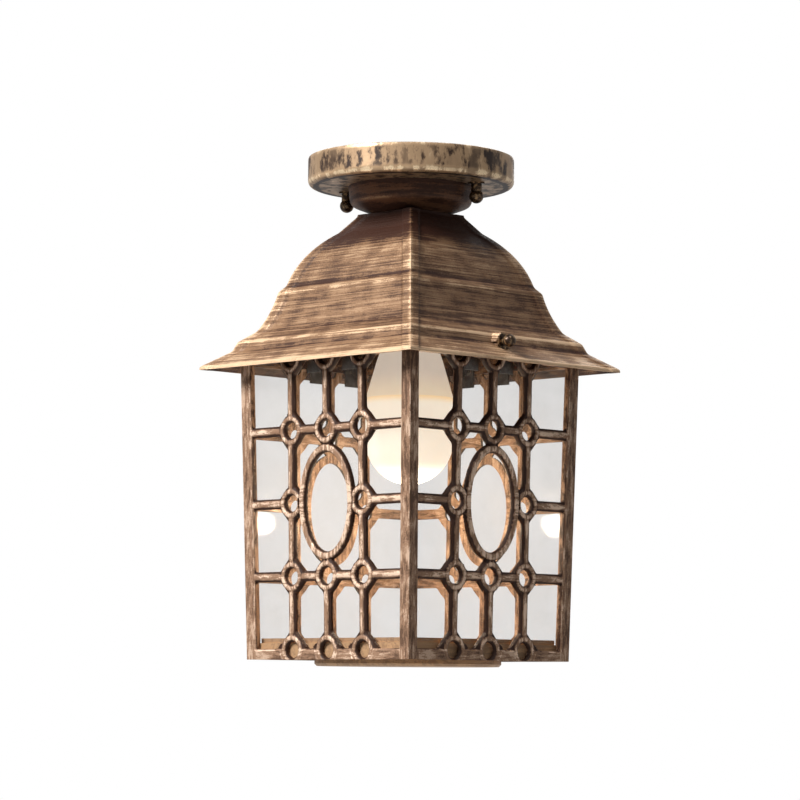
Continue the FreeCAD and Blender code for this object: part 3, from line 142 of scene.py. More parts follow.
def noise(tree, vector, scale, detail=4.0, roughness=0.55):
    """Clouds of a number from 0 to 1; a larger scale makes them smaller."""
    sockets = {"Vector": vector, "Scale": scale, "Detail": detail, "Roughness": roughness}
    return put(tree, "TexNoise", sockets).outputs[0]


def rgb(red, green, blue):
    """A solid colour, as the four numbers that a colour socket takes."""
    return (red, green, blue, 1.0)


def start_finish(name):
    """A material with an empty tree, its output, and the object's own coordinates."""
    made = bpy.data.materials.new(name)
    made.use_nodes = True
    tree = made.node_tree
    tree.nodes.clear()
    out = put(tree, "OutputMaterial").inputs[0]
    return made, tree, out, put(tree, "TexCoord").outputs["Object"]


print("node helpers ready")

# %% [markdown]
# ## A white studio
# The picture has a pure white ground and soft light: the left side of the
# lantern is bright, its right side is in shade, and the canopy shades the top
# of the roof, so the main lamp stands to the left and high up. The world gives
# a low even light. To the camera and through glass it shows plain white
# instead, which is what Light Path is for, and in gloss it shows a pale grey.
# The lit bulb is a surface that glows, and a small warm lamp just below it
# carries its light to the cage.

# %% World and lamps
AMBIENT = 0.12
GLOSS_SHARE = 0.42
SQUARE_LAMPS = {
    "lamp_left_high": {"place": (-0.3, -1.65, 1.05), "size": 0.7, "energy": 66},
    "lamp_right_fill": {"place": (0.75, -0.35, 2.1), "size": 0.8, "energy": 16},
    "lamp_behind": {"place": (-1.4, 1.6, 0.9), "size": 1.2, "energy": 14},
}
BULB_PLACE = (0, 0, -0.186)
BULB_LAMP = {"energy": 0.38, "shadow_soft_size": 0.006, "color": (1.0, 0.84, 0.62)}


def studio_world():
    """White to the camera and through glass, pale grey in gloss, AMBIENT as light."""
    world = bpy.data.worlds.new("studio")
    world.use_nodes = True
    tree = world.node_tree
    tree.nodes.clear()
    path = put(tree, "LightPath")
    straight, through = path.outputs["Is Camera Ray"], path.outputs["Is Transmission Ray"]
    seen = sum_of(tree, "MAXIMUM", straight, through)
    gloss = sum_of(tree, "MULTIPLY", path.outputs["Is Glossy Ray"], GLOSS_SHARE)
    seen = sum_of(tree, "MAXIMUM", seen, gloss)
    level = put(tree, "MapRange", {0: seen, 3: AMBIENT, 4: 1.0}).outputs[0]
    back = put(tree, "Background", {"Color": rgb(1, 1, 1), "Strength": level})
    out = put(tree, "OutputWorld")
    tree.links.new(back.outputs[0], out.inputs[0])
    return world


def lamp(name, kind, place, **settings):
    """A lamp in its place, with its own settings."""
    made = bpy.data.objects.new(name, bpy.data.lights.new(name, kind))
    for key, setting in settings.items():
        setattr(made.data, key, setting)
    made.location = place
    bpy.context.scene.collection.objects.link(made)
    return made


bpy.context.scene.world = studio_world()
bpy.context.scene.view_settings.view_transform = "Standard"
for name, given in SQUARE_LAMPS.items():
    made = lamp(name, "AREA", shape="SQUARE", **given)
    made.rotation_euler = look_at(given["place"], (0, 0, -MIDDLE_DROP))
lamp("lamp_bulb", "POINT", BULB_PLACE, **BULB_LAMP).visible_camera = False
print("studio lit by", len(SQUARE_LAMPS), "square lamps and the bulb's own")

# %% [markdown]
# ## The floor
# A plain pale floor lies below the lantern. It keeps the lantern's soft shadow
# in the views that look down on it. Its far part fades into the white of the
# world with the distance from the middle, so no edge shows, and its under side
# is clear, so that the lantern can be looked at from below as well.

# %% Floor
FLOOR_DROP = 0.85
FLOOR_RADIUS = 1.3
FADE_START = 0.45 * FLOOR_RADIUS


def floor_finish():
    """Matt paper that turns clear towards its rim, and is clear from below."""
    made, tree, out, where = start_finish("floor_paper")
    level = stretched(tree, where, (1, 1, 0))
    far = put(tree, "VectorMath", {0: level}, operation="LENGTH").outputs["Value"]
    paper = put(tree, "BsdfPrincipled", {"Base Color": rgb(0.86, 0.86, 0.85), "Roughness": 0.9})
    fade = spread(tree, far, FADE_START, FLOOR_RADIUS)
    fade = sum_of(tree, "MAXIMUM", fade, put(tree, "NewGeometry").outputs["Backfacing"])
    clear = put(tree, "BsdfTransparent")
    mix = put(tree, "MixShader", {0: fade, 1: paper.outputs[0], 2: clear.outputs[0]})
    tree.links.new(mix.outputs[0], out)
    return made


def floor_disc():
    """A flat disc of paper under the lantern: one face with 64 corners on a circle."""
    turn = np.linspace(0, 2 * math.pi, 64, endpoint=False)
    rim = np.stack([np.cos(turn), np.sin(turn), 0 * turn], 1) * FLOOR_RADIUS
    rim[:, 2] = -FLOOR_DROP
    mesh = bpy.data.meshes.new("floor")
    mesh.from_pydata(rim.tolist(), [], [list(range(len(rim)))])
    mesh.materials.append(floor_finish())
    made = bpy.data.objects.new("floor", mesh)
    bpy.context.scene.collection.objects.link(made)


floor_disc()
print("floor", FLOOR_DROP, "m under the ceiling")

# %% [markdown]
# ## Surfaces from arrays
# Each new skin is a grid of points worked out with numpy and handed to the mesh
# in one go. The grid may close on itself: round the lantern, where the last
# column meets the first, and along its outline, where the inside of a shell
# meets its outside, so that no seam is left open. Numbers that a finish needs
# from the shape, such as how far a place stands out, go along as attributes.

# %% Mesh helpers


def closed_quads(rows, columns):
    """Faces of a grid that closes on itself: each joins four neighbouring points,
    and the last row and column are followed by the first."""
    row, column = np.arange(rows)[:, None], np.arange(columns)[None, :]
    next_row, next_column = (row + 1) % rows, (column + 1) % columns
    corners = [(row, column), (row, next_column), (next_row, next_column), (next_row, column)]
    return np.stack([(r * columns + c).ravel() for r, c in corners], 1)


def mesh_from(name, points, quads, marks, sharp=35):
    """Points in millimetres and four-sided faces become a mesh object. Edges that
    bend by more than the sharp angle, in degrees, stay crisp."""
    mesh = bpy.data.meshes.new(name)
    mesh.vertices.add(len(points))
    mesh.vertices.foreach_set("co", (points * MM).astype(np.float32).ravel())
    mesh.loops.add(quads.size)
    mesh.loops.foreach_set("vertex_index", quads.astype(np.int32).ravel())
    mesh.polygons.add(len(quads))
    mesh.polygons.foreach_set("loop_start", np.arange(0, quads.size, 4, dtype=np.int32))
    mesh.update(calc_edges=True)
    mesh.polygons.foreach_set("use_smooth", np.ones(len(quads), bool))
    mesh.set_sharp_from_angle(angle=math.radians(sharp))
    for label, values in marks.items():
        layer = mesh.attributes.new(label, "FLOAT", "POINT")
        layer.data.foreach_set("value", values.astype(np.float32).ravel())
    made = bpy.data.objects.new(name, mesh)
    bpy.context.scene.collection.objects.link(made)
    return made


def size_of(piece):
    """Width, depth and height of a piece in millimetres, from its points."""
    points = np.empty(3 * len(piece.data.vertices), np.float32)
    piece.data.vertices.foreach_get("co", points)
    return (np.ptp(points.reshape(-1, 3), axis=0).astype(float) / MM).round(1).tolist()


def dress(piece, body, finish, node):
    """Says what a new piece rides on, its finish, and the node it stands for."""
    piece.data.materials.append(finish)
    print(piece.name, "has", 2 * len(piece.data.polygons), "triangles and measures",
          size_of(piece), "mm, its solid", size_of(frame["nodes"][node]))
    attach(piece, body)
    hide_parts(node)


print("mesh helpers ready")

# %% [markdown]
# ## Lines to carry
# An outline is drawn as a few straight runs and arcs, with the radii that a
# pattern maker would give. Points an even step apart are then laid along it, its
# corners are eased as a casting's are, and its turning is measured, since paint
# rubs off where a line turns outwards and stays away where it turns inwards.

# %% Line helpers


def arc_run(start, end, radius, way, count):
    """Points of an arc from start to end; way is 1 where it turns left, else -1.
    The centre lies on the chord's upright, as far off as the radius asks."""
    start, end = np.array(start, float), np.array(end, float)
    chord = end - start
    length = np.hypot(*chord)
    off = math.sqrt(radius**2 - (length / 2) ** 2)
    upright = np.array([-chord[1], chord[0]]) / length
    centre = (start + end) / 2 + way * off * upright
    first = math.atan2(*(start - centre)[::-1])
    last = math.atan2(*(end - centre)[::-1])
    if way > 0 and last < first:
        last += 2 * math.pi
    if way < 0 and last > first:
        last -= 2 * math.pi
    turn = np.linspace(first, last, count)
    return centre + radius * np.stack([np.cos(turn), np.sin(turn)], 1)


def outline(parts):
    """One line from runs, given as two ends, and arcs, given as arc_run takes them."""
    return np.concatenate([arc_run(*part) if len(part) > 2 else part for part in parts])


def even_steps(line, step):
    """The same line with points an even step apart, measured along it."""
    line = np.array(line, float)
    along = np.r_[0, np.cumsum(np.hypot(*np.diff(line, axis=0).T))]
    places = np.linspace(0, along[-1], max(2, round(along[-1] / step) + 1))
    return np.stack([np.interp(places, along, line[:, i]) for i in (0, 1)], 1)


def eased(line, times=2):
    """Rounds the corners of a line: each point moves towards its neighbours' middle."""
    line = line.copy()
    for _ in range(times):
        line[1:-1] = 0.25 * line[:-2] + 0.5 * line[1:-1] + 0.25 * line[2:]
    return line


def turning(line):
    """How far a line turns over three points, in radians: more than nought to the
    left, less than nought to the right."""
    run = np.gradient(line, axis=0)
    heading = np.unwrap(np.arctan2(run[:, 1], run[:, 0]))
    return np.convolve(np.gradient(heading), np.ones(3), "same")


print("line helpers ready")

# %% [markdown]
# ## Brushed paint
# The castings are painted dark brown, and bronze paint is then rubbed over them
# with a nearly dry brush. The brush leaves broken streaks along its way, takes
# to edges and crowns, and misses hollows. This could be painted by hand as a
# picture. A node group that every casting shares keeps its detail at any
# distance. The first one makes the streaks, from two stretched noises and the
# grain of the casting.

# %% Group of brush streaks


def group_ends(name, inputs, outputs):
    """A node group with named sockets; gives its tree and both ends' sockets."""
    tree = bpy.data.node_groups.new(name, "ShaderNodeTree")
    for label, kind, default in inputs:
        made = tree.interface.new_socket(label, in_out="INPUT", socket_type="NodeSocket" + kind)
        if default is not None:
            made.default_value = default
    for label, kind in outputs:
        tree.interface.new_socket(label, in_out="OUTPUT", socket_type="NodeSocket" + kind)
    start, end = tree.nodes.new("NodeGroupInput"), tree.nodes.new("NodeGroupOutput")
    return tree, start.outputs, end.inputs


def streaks_group():
    """Broken streaks: a long noise and a shorter one, both stretched one way,
    with patches that break them up and a fine grain on top."""
    tree, start, end = group_ends(
        "Dry brush streaks",
        [("Vector", "Vector", None), ("Stretch", "Vector", (20, 20, 600)), ("Break", "Float", 0.5)],
        [("Streaks", "Float"), ("Fine", "Float")],
    )
    lines = stretched(tree, start["Vector"], start["Stretch"])
    long = noise(tree, lines, 1.0, 5.0, 0.62)
    fine = noise(tree, lines, 2.7, 3.0, 0.7)
    patch = noise(tree, start["Vector"], 70.0, 2.0)
    grain = noise(tree, start["Vector"], 1300.0, 2.0)
    body = sum_of(tree, "MULTIPLY_ADD", fine, 0.4, long)
    body = sum_of(tree, "MULTIPLY_ADD", grain, 0.3, body)
    body = sum_of(tree, "SUBTRACT", body, 0.35)
    broken = sum_of(tree, "MULTIPLY_ADD", patch, start["Break"], body)
    broken = sum_of(tree, "SUBTRACT", broken, sum_of(tree, "MULTIPLY", start["Break"], 0.5))
    tree.links.new(spread(tree, broken, 0.34, 0.66), end["Streaks"])
    tree.links.new(fine, end["Fine"])
    return tree


STREAKS = streaks_group()
print("group:", STREAKS.name)

# %% [markdown]
# The second group turns streaks, places that stand out and hollows into one
# number, how much bronze lies there. Cover is where it starts, streaks move it up
# and down, places that stand out and painted light add to it, and hollows and
# painted shade take away. Brown, tan and gold then follow each other along that
# number, and more bronze is smoother and more like metal.

# %% Group of rubbed bronze


def bronze_group():
    """How much bronze lies on the brown, and the colour, gloss and height of it."""
    tree, start, end = group_ends(
        "Rubbed bronze",
        [
            # the raised input also carries painted highlight and light, the hollow input painted
            # shade
            ("Streaks", "Float", 0.5), ("Fine", "Float", 0.5), ("Raised_and_painted_light", "Float", 0.0),
            ("Hollow_and_painted_shade", "Float", 0.0), ("Cover", "Float", 0.5),
            ("Brown", "Color", rgb(0.026, 0.011, 0.006)),
            ("Tan", "Color", rgb(0.25, 0.138, 0.072)),
            ("Gold", "Color", rgb(0.50, 0.30, 0.16)),
        ],
        [("Colour", "Color"), ("Roughness", "Float"), ("Metal", "Float"), ("Height", "Float")],
    )
    paint = sum_of(tree, "MULTIPLY_ADD", start["Streaks"], 0.62, start["Cover"])
    paint = sum_of(tree, "SUBTRACT", paint, 0.31)
    paint = sum_of(tree, "MULTIPLY_ADD", start["Raised_and_painted_light"], 0.55, paint)
    paint = sum_of(tree, "MULTIPLY_ADD", start["Hollow_and_painted_shade"], -1.1, paint, clamp=True)
    lower = between(tree, spread(tree, paint, 0.0, 0.55), start["Brown"], start["Tan"])
    upper = between(tree, spread(tree, paint, 0.62, 1.0), lower, start["Gold"])
    tree.links.new(upper, end["Colour"])
    dull = sum_of(tree, "MULTIPLY_ADD", start["Fine"], 0.25, 0.42)
    tree.links.new(sum_of(tree, "MULTIPLY_ADD", paint, -0.16, dull), end["Roughness"])
    tree.links.new(spread(tree, paint, 0.3, 1.0, 0.0, 0.18), end["Metal"])
    height = sum_of(tree, "MULTIPLY_ADD", start["Fine"], 0.5, start["Streaks"])
    tree.links.new(height, end["Height"])
    return tree


BRONZE = bronze_group()
print("group:", BRONZE.name)

# %% [markdown]
# ## Finishes for the castings
# Every casting uses the same two groups with its own values. The roof is
# brushed level, round all four sides. The frets are brushed along their bars,
# so their streaks run down the posts, and an attribute of the mesh turns them
# level on the cross bars. The three numbers of a stretch say how fine a streak
# is along x, y and z: they are small along the way of the brush.

# %% Casting finishes


def group(tree, which, sockets):
    """Places a shared group in a material, and gives its outputs."""
    return put(tree, "Group", sockets, node_tree=which).outputs


def shade(tree, out, colour, roughness, metal=0.0, height=None, deep=0.1 * MM, **more):
    """The one shader of a finish. The height lifts the surface by up to deep, and
    more names other sockets of the shader."""
    sockets = {"Base Color": colour, "Roughness": roughness, "Metallic": metal}
    sockets.update({key.replace("_", " "): given for key, given in more.items()})
    if height is not None:
        sockets["Normal"] = put(tree, "Bump", {"Height": height, "Distance": deep}).outputs[0]
    tree.links.new(put(tree, "BsdfPrincipled", sockets).outputs[0], out)


def mark(tree, name):
    """A number that the mesh carries at each point."""
    return put(tree, "Attribute", attribute_name=name).outputs["Fac"]


def cast_finish(name, stretch, cover, level_stretch=None, use_marks=True, **colours):
    """Rubbed bronze over brown on a casting: streaks by stretch, by level_stretch
    where the mesh is marked level, and as much bronze as cover says."""
    made, tree, out, where = start_finish(name)
    drawn = group(tree, STREAKS, {"Vector": where, "Stretch": stretch})
    streaks, fine = drawn["Streaks"], drawn["Fine"]
    if level_stretch:
        level = group(tree, STREAKS, {"Vector": where, "Stretch": level_stretch})
        way = mark(tree, "level")
        streaks = put(tree, "Mix", {0: way, 2: streaks, 3: level["Streaks"]}).outputs[0]
        fine = put(tree, "Mix", {0: way, 2: fine, 3: level["Fine"]}).outputs[0]
    given = {"Streaks": streaks, "Fine": fine, "Cover": cover, **colours}
    if use_marks:
        given.update({"Raised_and_painted_light": mark(tree, "raised_and_painted_light"), "Hollow_and_painted_shade": mark(tree, "hollow")})
    paint = group(tree, BRONZE, given)
    look = [paint[name] for name in ("Colour", "Roughness", "Metal", "Height")]
    shade(tree, out, *look, Specular_IOR_Level=0.25)
    return made


roof_finish = cast_finish(
    "roof_bronze", (26, 26, 1150), 0.46,
    Brown=rgb(0.042, 0.015, 0.008), Gold=rgb(0.74, 0.50, 0.31),
)
fret_finish = cast_finish(
    "fret_bronze", (520, 520, 90), 0.2, (90, 90, 520),
    Brown=rgb(0.035, 0.013, 0.006), Tan=rgb(0.31, 0.18, 0.11), Gold=rgb(0.84, 0.61, 0.45),
)
bowl_finish = cast_finish(
    "bowl_bronze", (30, 30, 420), 0.30,
    Brown=rgb(0.05, 0.019, 0.01), Tan=rgb(0.16, 0.072, 0.035),
)
inner_finish = cast_finish("inner_bronze", (40, 40, 90), 0.12, use_marks=False)
dish_finish = cast_finish(
    "dish_bronze", (420, 26, 300), 0.86, use_marks=False, Tan=rgb(0.36, 0.215, 0.12),
)
print("castings: roof, frets, bowl, floor dish and the pieces inside")

# %% [markdown]
# ## A finish for the canopy
# The canopy isn't streaked. Its paint is dabbed on with a full brush, so it is
# brighter and more like metal than the castings, with dark specks where the
# brown shows through, a rubbed top rim, a painted highlight along its lower
# corner and a painted shadow line under that. It takes the bronze group as
# well, fed with dabs instead of streaks.

# %% Canopy finish


def canopy_finish():
    """Dabbed gold with dark specks, brighter on the rubbed rim and the painted
    highlight of the lower corner, darker on the painted shadow line under it.
    """
    made, tree, out, where = start_finish("canopy_bronze")
    dabs = noise(tree, stretched(tree, where, (60, 60, 30)), 1.0, 3.0, 0.6)
    specks = noise(tree, stretched(tree, where, (150, 150, 70)), 1.0, 5.0, 0.66)
    fine = noise(tree, where, 900.0, 2.0)
    dark = spread(tree, sum_of(tree, "MULTIPLY_ADD", dabs, 0.6, specks), 0.72, 0.92)
    given = {
        "Streaks": spread(tree, dabs, 0.2, 0.8), "Fine": fine, "Cover": 0.58,
        "Raised_and_painted_light": mark(tree, "raised_and_painted_light"),
        "Hollow_and_painted_shade": sum_of(tree, "MULTIPLY_ADD", dark, 0.5, mark(tree, "hollow")),
        "Tan": rgb(0.44, 0.29, 0.17), "Gold": rgb(0.95, 0.72, 0.46),
    }
    paint = group(tree, BRONZE, given)
    metal = spread(tree, dark, 0.0, 1.0, 0.62, 0.1)
    rough = sum_of(tree, "SUBTRACT", paint["Roughness"], 0.08)
    shade(tree, out, paint["Colour"], rough, metal, paint["Height"], 0.05 * MM,
          Specular_IOR_Level=0.35)
    return made


spun_finish = canopy_finish()
print("canopy finish ready")

# %% [markdown]
# ## The bell roof
# On the real lantern the roof is one casting: four equal faces whose outline
# swells and hollows like a bell, with two thin ledges, a band and a wide eave,
# and a raised rib down each hip. It could be four extruded outlines cut at the
# corners. Here it is one function instead: a row is a square ring of points at
# one height, the half side of the square follows the outline, and near a corner
# the ring steps out by the rise of the rib. The outline comes first: half the
# side of the square against the height under the roof's top.

# %% Roof outline
ROOF_TOP = -30.0
TOP_HALF = 18.5
ROOF_OUTLINE = [
    ((TOP_HALF, 0.0), (TOP_HALF, -1.0)),
    ((TOP_HALF, -1.0), (25.5, -9.8)),
    ((25.5, -9.8), (44.7, -38.0), 50.0, -1, 24),
    ((44.7, -38.0), (47.8, -41.4)),
    ((47.8, -41.4), (55.5, -62.2), 68.0, 1, 24),
    ((55.5, -62.2), (62.6, -67.8)),
    ((62.6, -67.8), (64.6, -72.8)),
    ((64.6, -72.8), (76.7, -81.0)),
    ((76.7, -81.0), (76.7, -82.5)),
]
ROOF_INSIDE = [
    (75.6, -82.5), (63.45, -73.95), (60.85, -73.9), (60.85, -69.1), (53.1, -63.4),
    (45.4, -42.1), (42.3, -38.7), (35.8, -22.5), (23.8, -11.5), (17.8, -3.5),
]


def roof_line():
    """The outside outline in steps of 0.55 mm, eased three times at its corners."""
    return eased(even_steps(outline(ROOF_OUTLINE), 0.55), 3)


print("roof outline has", len(roof_line()), "rows")

# %% [markdown]
# Each ring is one side's row of points, turned to all four sides. Its columns
# stand close together on the rib and at its foot, where the surface steps, and
# at the middle of the face. There the right and left sides have a flat round
# boss for a thumb screw: the points inside its circle are moved to one plane.

# %% Roof rings
RIB_RISE, RIB_REACH, RIB_FOOT = 1.2, 6.0, 0.16
RIB_COLUMNS = np.array([0, 0.35, 0.9, 1.8, 3.0, 4.2, 5.2, 5.7, 6.0, 6.3, 6.9, 8.0])
FACE_SPREAD = np.linspace(-1, 1, 47)[1:-1]
FACE_COLUMNS = FACE_SPREAD * (0.35 + 0.65 * FACE_SPREAD**2)
THUMB_LEVEL = -101.5
BOSS_RADIUS, BOSS_FACE, BOSS_STEP = 4.7, 66.6, 5.0


def face_ring(half, rise):
    """One face's edge at each row: x across the face and y in front of it. The rib
    stands out by its rise and falls off at its reach along an S curve."""
    fit = np.minimum(1, half / TOP_HALF)
    mask = 1 / (1 + np.exp((RIB_COLUMNS - RIB_REACH) / RIB_FOOT))
    out = np.repeat(rise * mask[None, :], len(half), 0)
    edge = half[:, None] + out - RIB_COLUMNS * fit[:, None]
    inner = (half - RIB_COLUMNS[-1] * fit)[:, None] * FACE_COLUMNS[None, :]
    flat = np.zeros_like(inner)
    x = np.concatenate([-edge, inner, edge[:, :0:-1]], 1)
    y = np.concatenate([out, flat, out[:, :0:-1]], 1) + half[:, None]
    return x, -y


def ring_rows(line, rise):
    """Square rings as points: the front face, turned to all four sides."""
    x, y = face_ring(line[:, 0], rise)
    z = np.repeat(line[:, 1:] + ROOF_TOP, x.shape[1], 1)
    sides = [(x, y), (-y, x), (-x, -y), (y, -x)]
    return np.concatenate([np.stack([a, b, z], 2) for a, b in sides], 1)


def thumb_bosses(points):
    """Flattens a round patch at each thumb screw to the face of its boss."""
    x, y, z = points[..., 0], points[..., 1], points[..., 2]
    near = np.hypot(y, z - THUMB_LEVEL)
    patch = (near < BOSS_RADIUS) & (np.abs(x) > BOSS_FACE - BOSS_STEP)
    points[..., 0] = np.where(patch, np.sign(x) * BOSS_FACE, x)
    return points


print("a ring has", 4 * (2 * len(RIB_COLUMNS) - 1 + len(FACE_COLUMNS)), "columns")

# %% [markdown]
# Where the brush touches the roof follows from its shape. The ledges and the lip
# of the eave stand out and take the most bronze, then the crest of each rib. The
# hollows under the ledges keep their brown. The top is darkened as a painted
# shadow of the canopy above it. Both numbers go along with the mesh.

# %% Roof marks
LEDGES_BELOW = -50.0
EAVE_FROM, LIP_FROM = -74.0, -80.4
# painted shadow of the canopy: the roof darkens from this height up to its top
SHADOW_PAINTED_FROM = -20.5
OPEN_FACE = 40.0  # a distance from the hip that no mark reaches


def bell(given, middle, width):
    """A bell curve: e to minus the square of the distance over the width."""
    return np.exp(-(((given - middle) / width) ** 2))


def roof_marks(outside):
    """How much each outside point stands out, and how much a recess and, at the top,
    the painted shadow of the canopy darken it, from 0 to about 1: the greater of
    what its row says, by turning and height, and its column, by distance to the hip."""
    turn, height = turning(outside), outside[:, 1]
    below = height < LEDGES_BELOW
    stand_out = np.where(below, 0.9, 0.35) * np.clip(-turn / 0.3, 0, 1)
    lip = 0.25 * np.clip((EAVE_FROM - height) / 5.0, 0, 1) + 0.9 * (height < LIP_FROM)
    drawn_in = np.where(below, 0.25, 0.55) * np.clip(turn / 0.4, 0, 1)
    # painted shadow: the top of the roof is darkened as if the canopy shaded it
    painted_canopy_shadow = 0.75 * np.clip((height - SHADOW_PAINTED_FROM) / 7.0, 0, 1)
    face = np.full(len(FACE_COLUMNS), OPEN_FACE)
    from_hip = np.tile(np.concatenate([RIB_COLUMNS, face, RIB_COLUMNS[:0:-1]]), 4)
    crest = 0.16 * (from_hip < 5.8) + 0.9 * bell(from_hip, 0, 1.5)
    foot = 0.1 * bell(from_hip, 6.3, 0.45)
    raised_and_painted_light = np.maximum(np.maximum(stand_out, lip)[:, None], crest)
    hollow = np.maximum(np.maximum(drawn_in, painted_canopy_shadow)[:, None], foot)
    return raised_and_painted_light, hollow


print("roof marks reach", [part.max().round(2) for part in roof_marks(roof_line())])

# %% [markdown]
# The rows run down the outside, round the eave, up the inside, flat in to the
# hole for the tube, up through it and flat out again to the start, so the skin
# closes on itself in both directions and encloses the metal, as the casting does.

# %% Roof skin
TUBE_HOLE = 5.05
TOP_WALL = 3.5
INSIDE_HOLLOW = 0.35


def to_hole(ring, level):
    """Rings at one level that run in from a square ring to the tube's round hole:
    each point moves along a straight line, by even shares of the way."""
    across = ring[:, :2]
    hole = TUBE_HOLE * across / np.hypot(*across.T)[:, None]
    share = np.linspace(0, 1, 7)[1:, None, None]
    flat = across[None] * (1 - share) + hole[None] * share
    return np.concatenate([flat, np.full(flat.shape[:2] + (1,), level)], 2)


def roof_skin():
    """Square rings down the outline and back up inside it, closed at the hole."""
    outside, inside = roof_line(), even_steps(ROOF_INSIDE, 4.0)
    outer = thumb_bosses(ring_rows(outside, RIB_RISE))
    inner = ring_rows(inside, 0.0)
    under = to_hole(inner[-1], ROOF_TOP - TOP_WALL)
    top = to_hole(outer[0], ROOF_TOP)[::-1]
    rows = np.concatenate([outer, inner, under, top])
    marks = {"raised_and_painted_light": np.zeros(rows.shape[:2]), "hollow": np.full(rows.shape[:2], INSIDE_HOLLOW)}
    marks["raised_and_painted_light"][: len(outside)], marks["hollow"][: len(outside)] = roof_marks(outside)
    return mesh_from("roof_casting", rows.reshape(-1, 3), closed_quads(*rows.shape[:2]), marks)


dress(roof_skin(), "fixture", roof_finish, "roof")

# %% [markdown]
# ## Cast frets
# Each side of the cage is one flat casting: posts and rails round a window,
# crossed by bars with a round crown, a ring at every crossing and an upright
# oval in the middle. It could be many bars and rings pushed into each other,
# but a casting is one piece, and metal flows into small fillets where its bars
# meet. A height map gives both. Two functions of the place on the fret say how
# far inside the metal it lies, and how deep its front face is there. Grid cells
# in the open are left out, and the points along an edge slide onto it.

# %% Fret sizes
CAGE_TOP, CAGE_FOOT, FRET_TOP = 62.85, 59.2, -104.5
FRET_HEIGHT, FRET_DEPTH = 159.0, 3.3
TAPER = (CAGE_TOP - CAGE_FOOT) / FRET_HEIGHT
LEAN = math.asin(TAPER)
POST, TOP_RAIL, FOOT_RAIL, POST_BEVEL = 7.0, 6.0, 5.4, 0.9
BAR, CROWN, RECESS = 2.6, 1.4, 0.4
BAR_PLACES = (-25.8, 0.0, 25.8)
ROW_PLACES = tuple(-4.1 - 37.5 * row for row in range(5))
RING_OUT, RING_IN, WEB_FACE = 8.25, 4.25, 1.2
OVAL_OUT, OVAL_RIM, OVAL_ROW = (19.9, 29.7), 4.4, 2
FILLET, CROWN_FILLET, HOLE_ROUND = 0.8, 0.5, 0.3
FLANK_SLOPE, LEAST_METAL = 6.0, 0.4
print("a fret is", FRET_HEIGHT, "mm high and leans", round(math.degrees(LEAN), 2), "degrees")

# %% [markdown]
# The maths of a casting is in how its parts join. The greater of two fields
# joins two shapes with a sharp crease. A smooth greater, which rounds the crease
# where the two are nearly equal, leaves the fillet that poured metal leaves.

# %% Fret fields


def smooth_max(a, b, soft):
    """The greater of two fields. Where they differ by less than soft, a parabola
    leads from one to the other."""
    h = np.clip(0.5 + 0.5 * (a - b) / soft, 0, 1)
    return b + (a - b) * h + soft * h * (1 - h)


def crown(off, half):
    """Depth of a round crown at a distance off its middle line: the arc of a circle
    across the bar, then a steep flank beyond its half width."""
    radius = (half**2 + CROWN**2) / (2 * CROWN)
    inside = RECESS + radius - np.sqrt(np.maximum(radius**2 - np.minimum(off, half) ** 2, 0))
    return inside + FLANK_SLOPE * np.maximum(off - half, 0)


def oval_distance(x, z, half_width, half_height):
    """About how far outside an upright oval a place lies, in millimetres: what the
    ellipse's equation gives, over its slope there."""
    size = np.sqrt((x / half_width) ** 2 + (z / half_height) ** 2) + 1e-9
    slope = np.hypot(x / half_width**2, z / half_height**2) / size
    return (size - 1) / (slope + 1e-6)


def frame_fields(x, z):
    """Posts and rails round the window, their inner edge bevelled at 45 degrees."""
    window = CAGE_TOP + z * TAPER - POST
    rails = np.maximum(z + TOP_RAIL, -FRET_HEIGHT + FOOT_RAIL - z)
    inside = np.maximum(np.abs(x) - window, rails)
    bevel = np.maximum(0, POST_BEVEL - inside)
    depth = np.where(inside > 0, bevel, POST_BEVEL - 4 * inside)
    return inside, depth, (inside > 0) & (np.abs(x) < window)


def with_ring(metal, depth, dx, dz):
    """A crowned ring round a crossing, on a flat square web that stands on its
    corner. The ring's crown fades into what is there just inside its outer edge."""
    far = np.hypot(dx, dz)
    web = (RING_OUT * math.sqrt(2) - dx - dz) / math.sqrt(2)
    metal = smooth_max(smooth_max(metal, RING_OUT - far, FILLET), web, FILLET)
    depth = np.minimum(depth, np.where(web > 0, WEB_FACE, 9))
    ring_depth = crown(np.abs(far - (RING_OUT + RING_IN) / 2), (RING_OUT - RING_IN) / 2)
    share = np.clip((far - RING_OUT + 1.3) / 1.5, 0, 1)
    depth = ring_depth + (depth - ring_depth) * share * share * (3 - 2 * share)
    return metal, depth, far - RING_IN


def oval_crown(outside_oval):
    """Depth of the oval's rim: flat along its middle, falling off to both edges."""
    off = np.abs(outside_oval + OVAL_RIM / 2)
    fall = CROWN * np.clip((off - 1.0) / 1.2, 0, 1) ** 2
    return RECESS + fall + FLANK_SLOPE * np.maximum(off - OVAL_RIM / 2, 0)


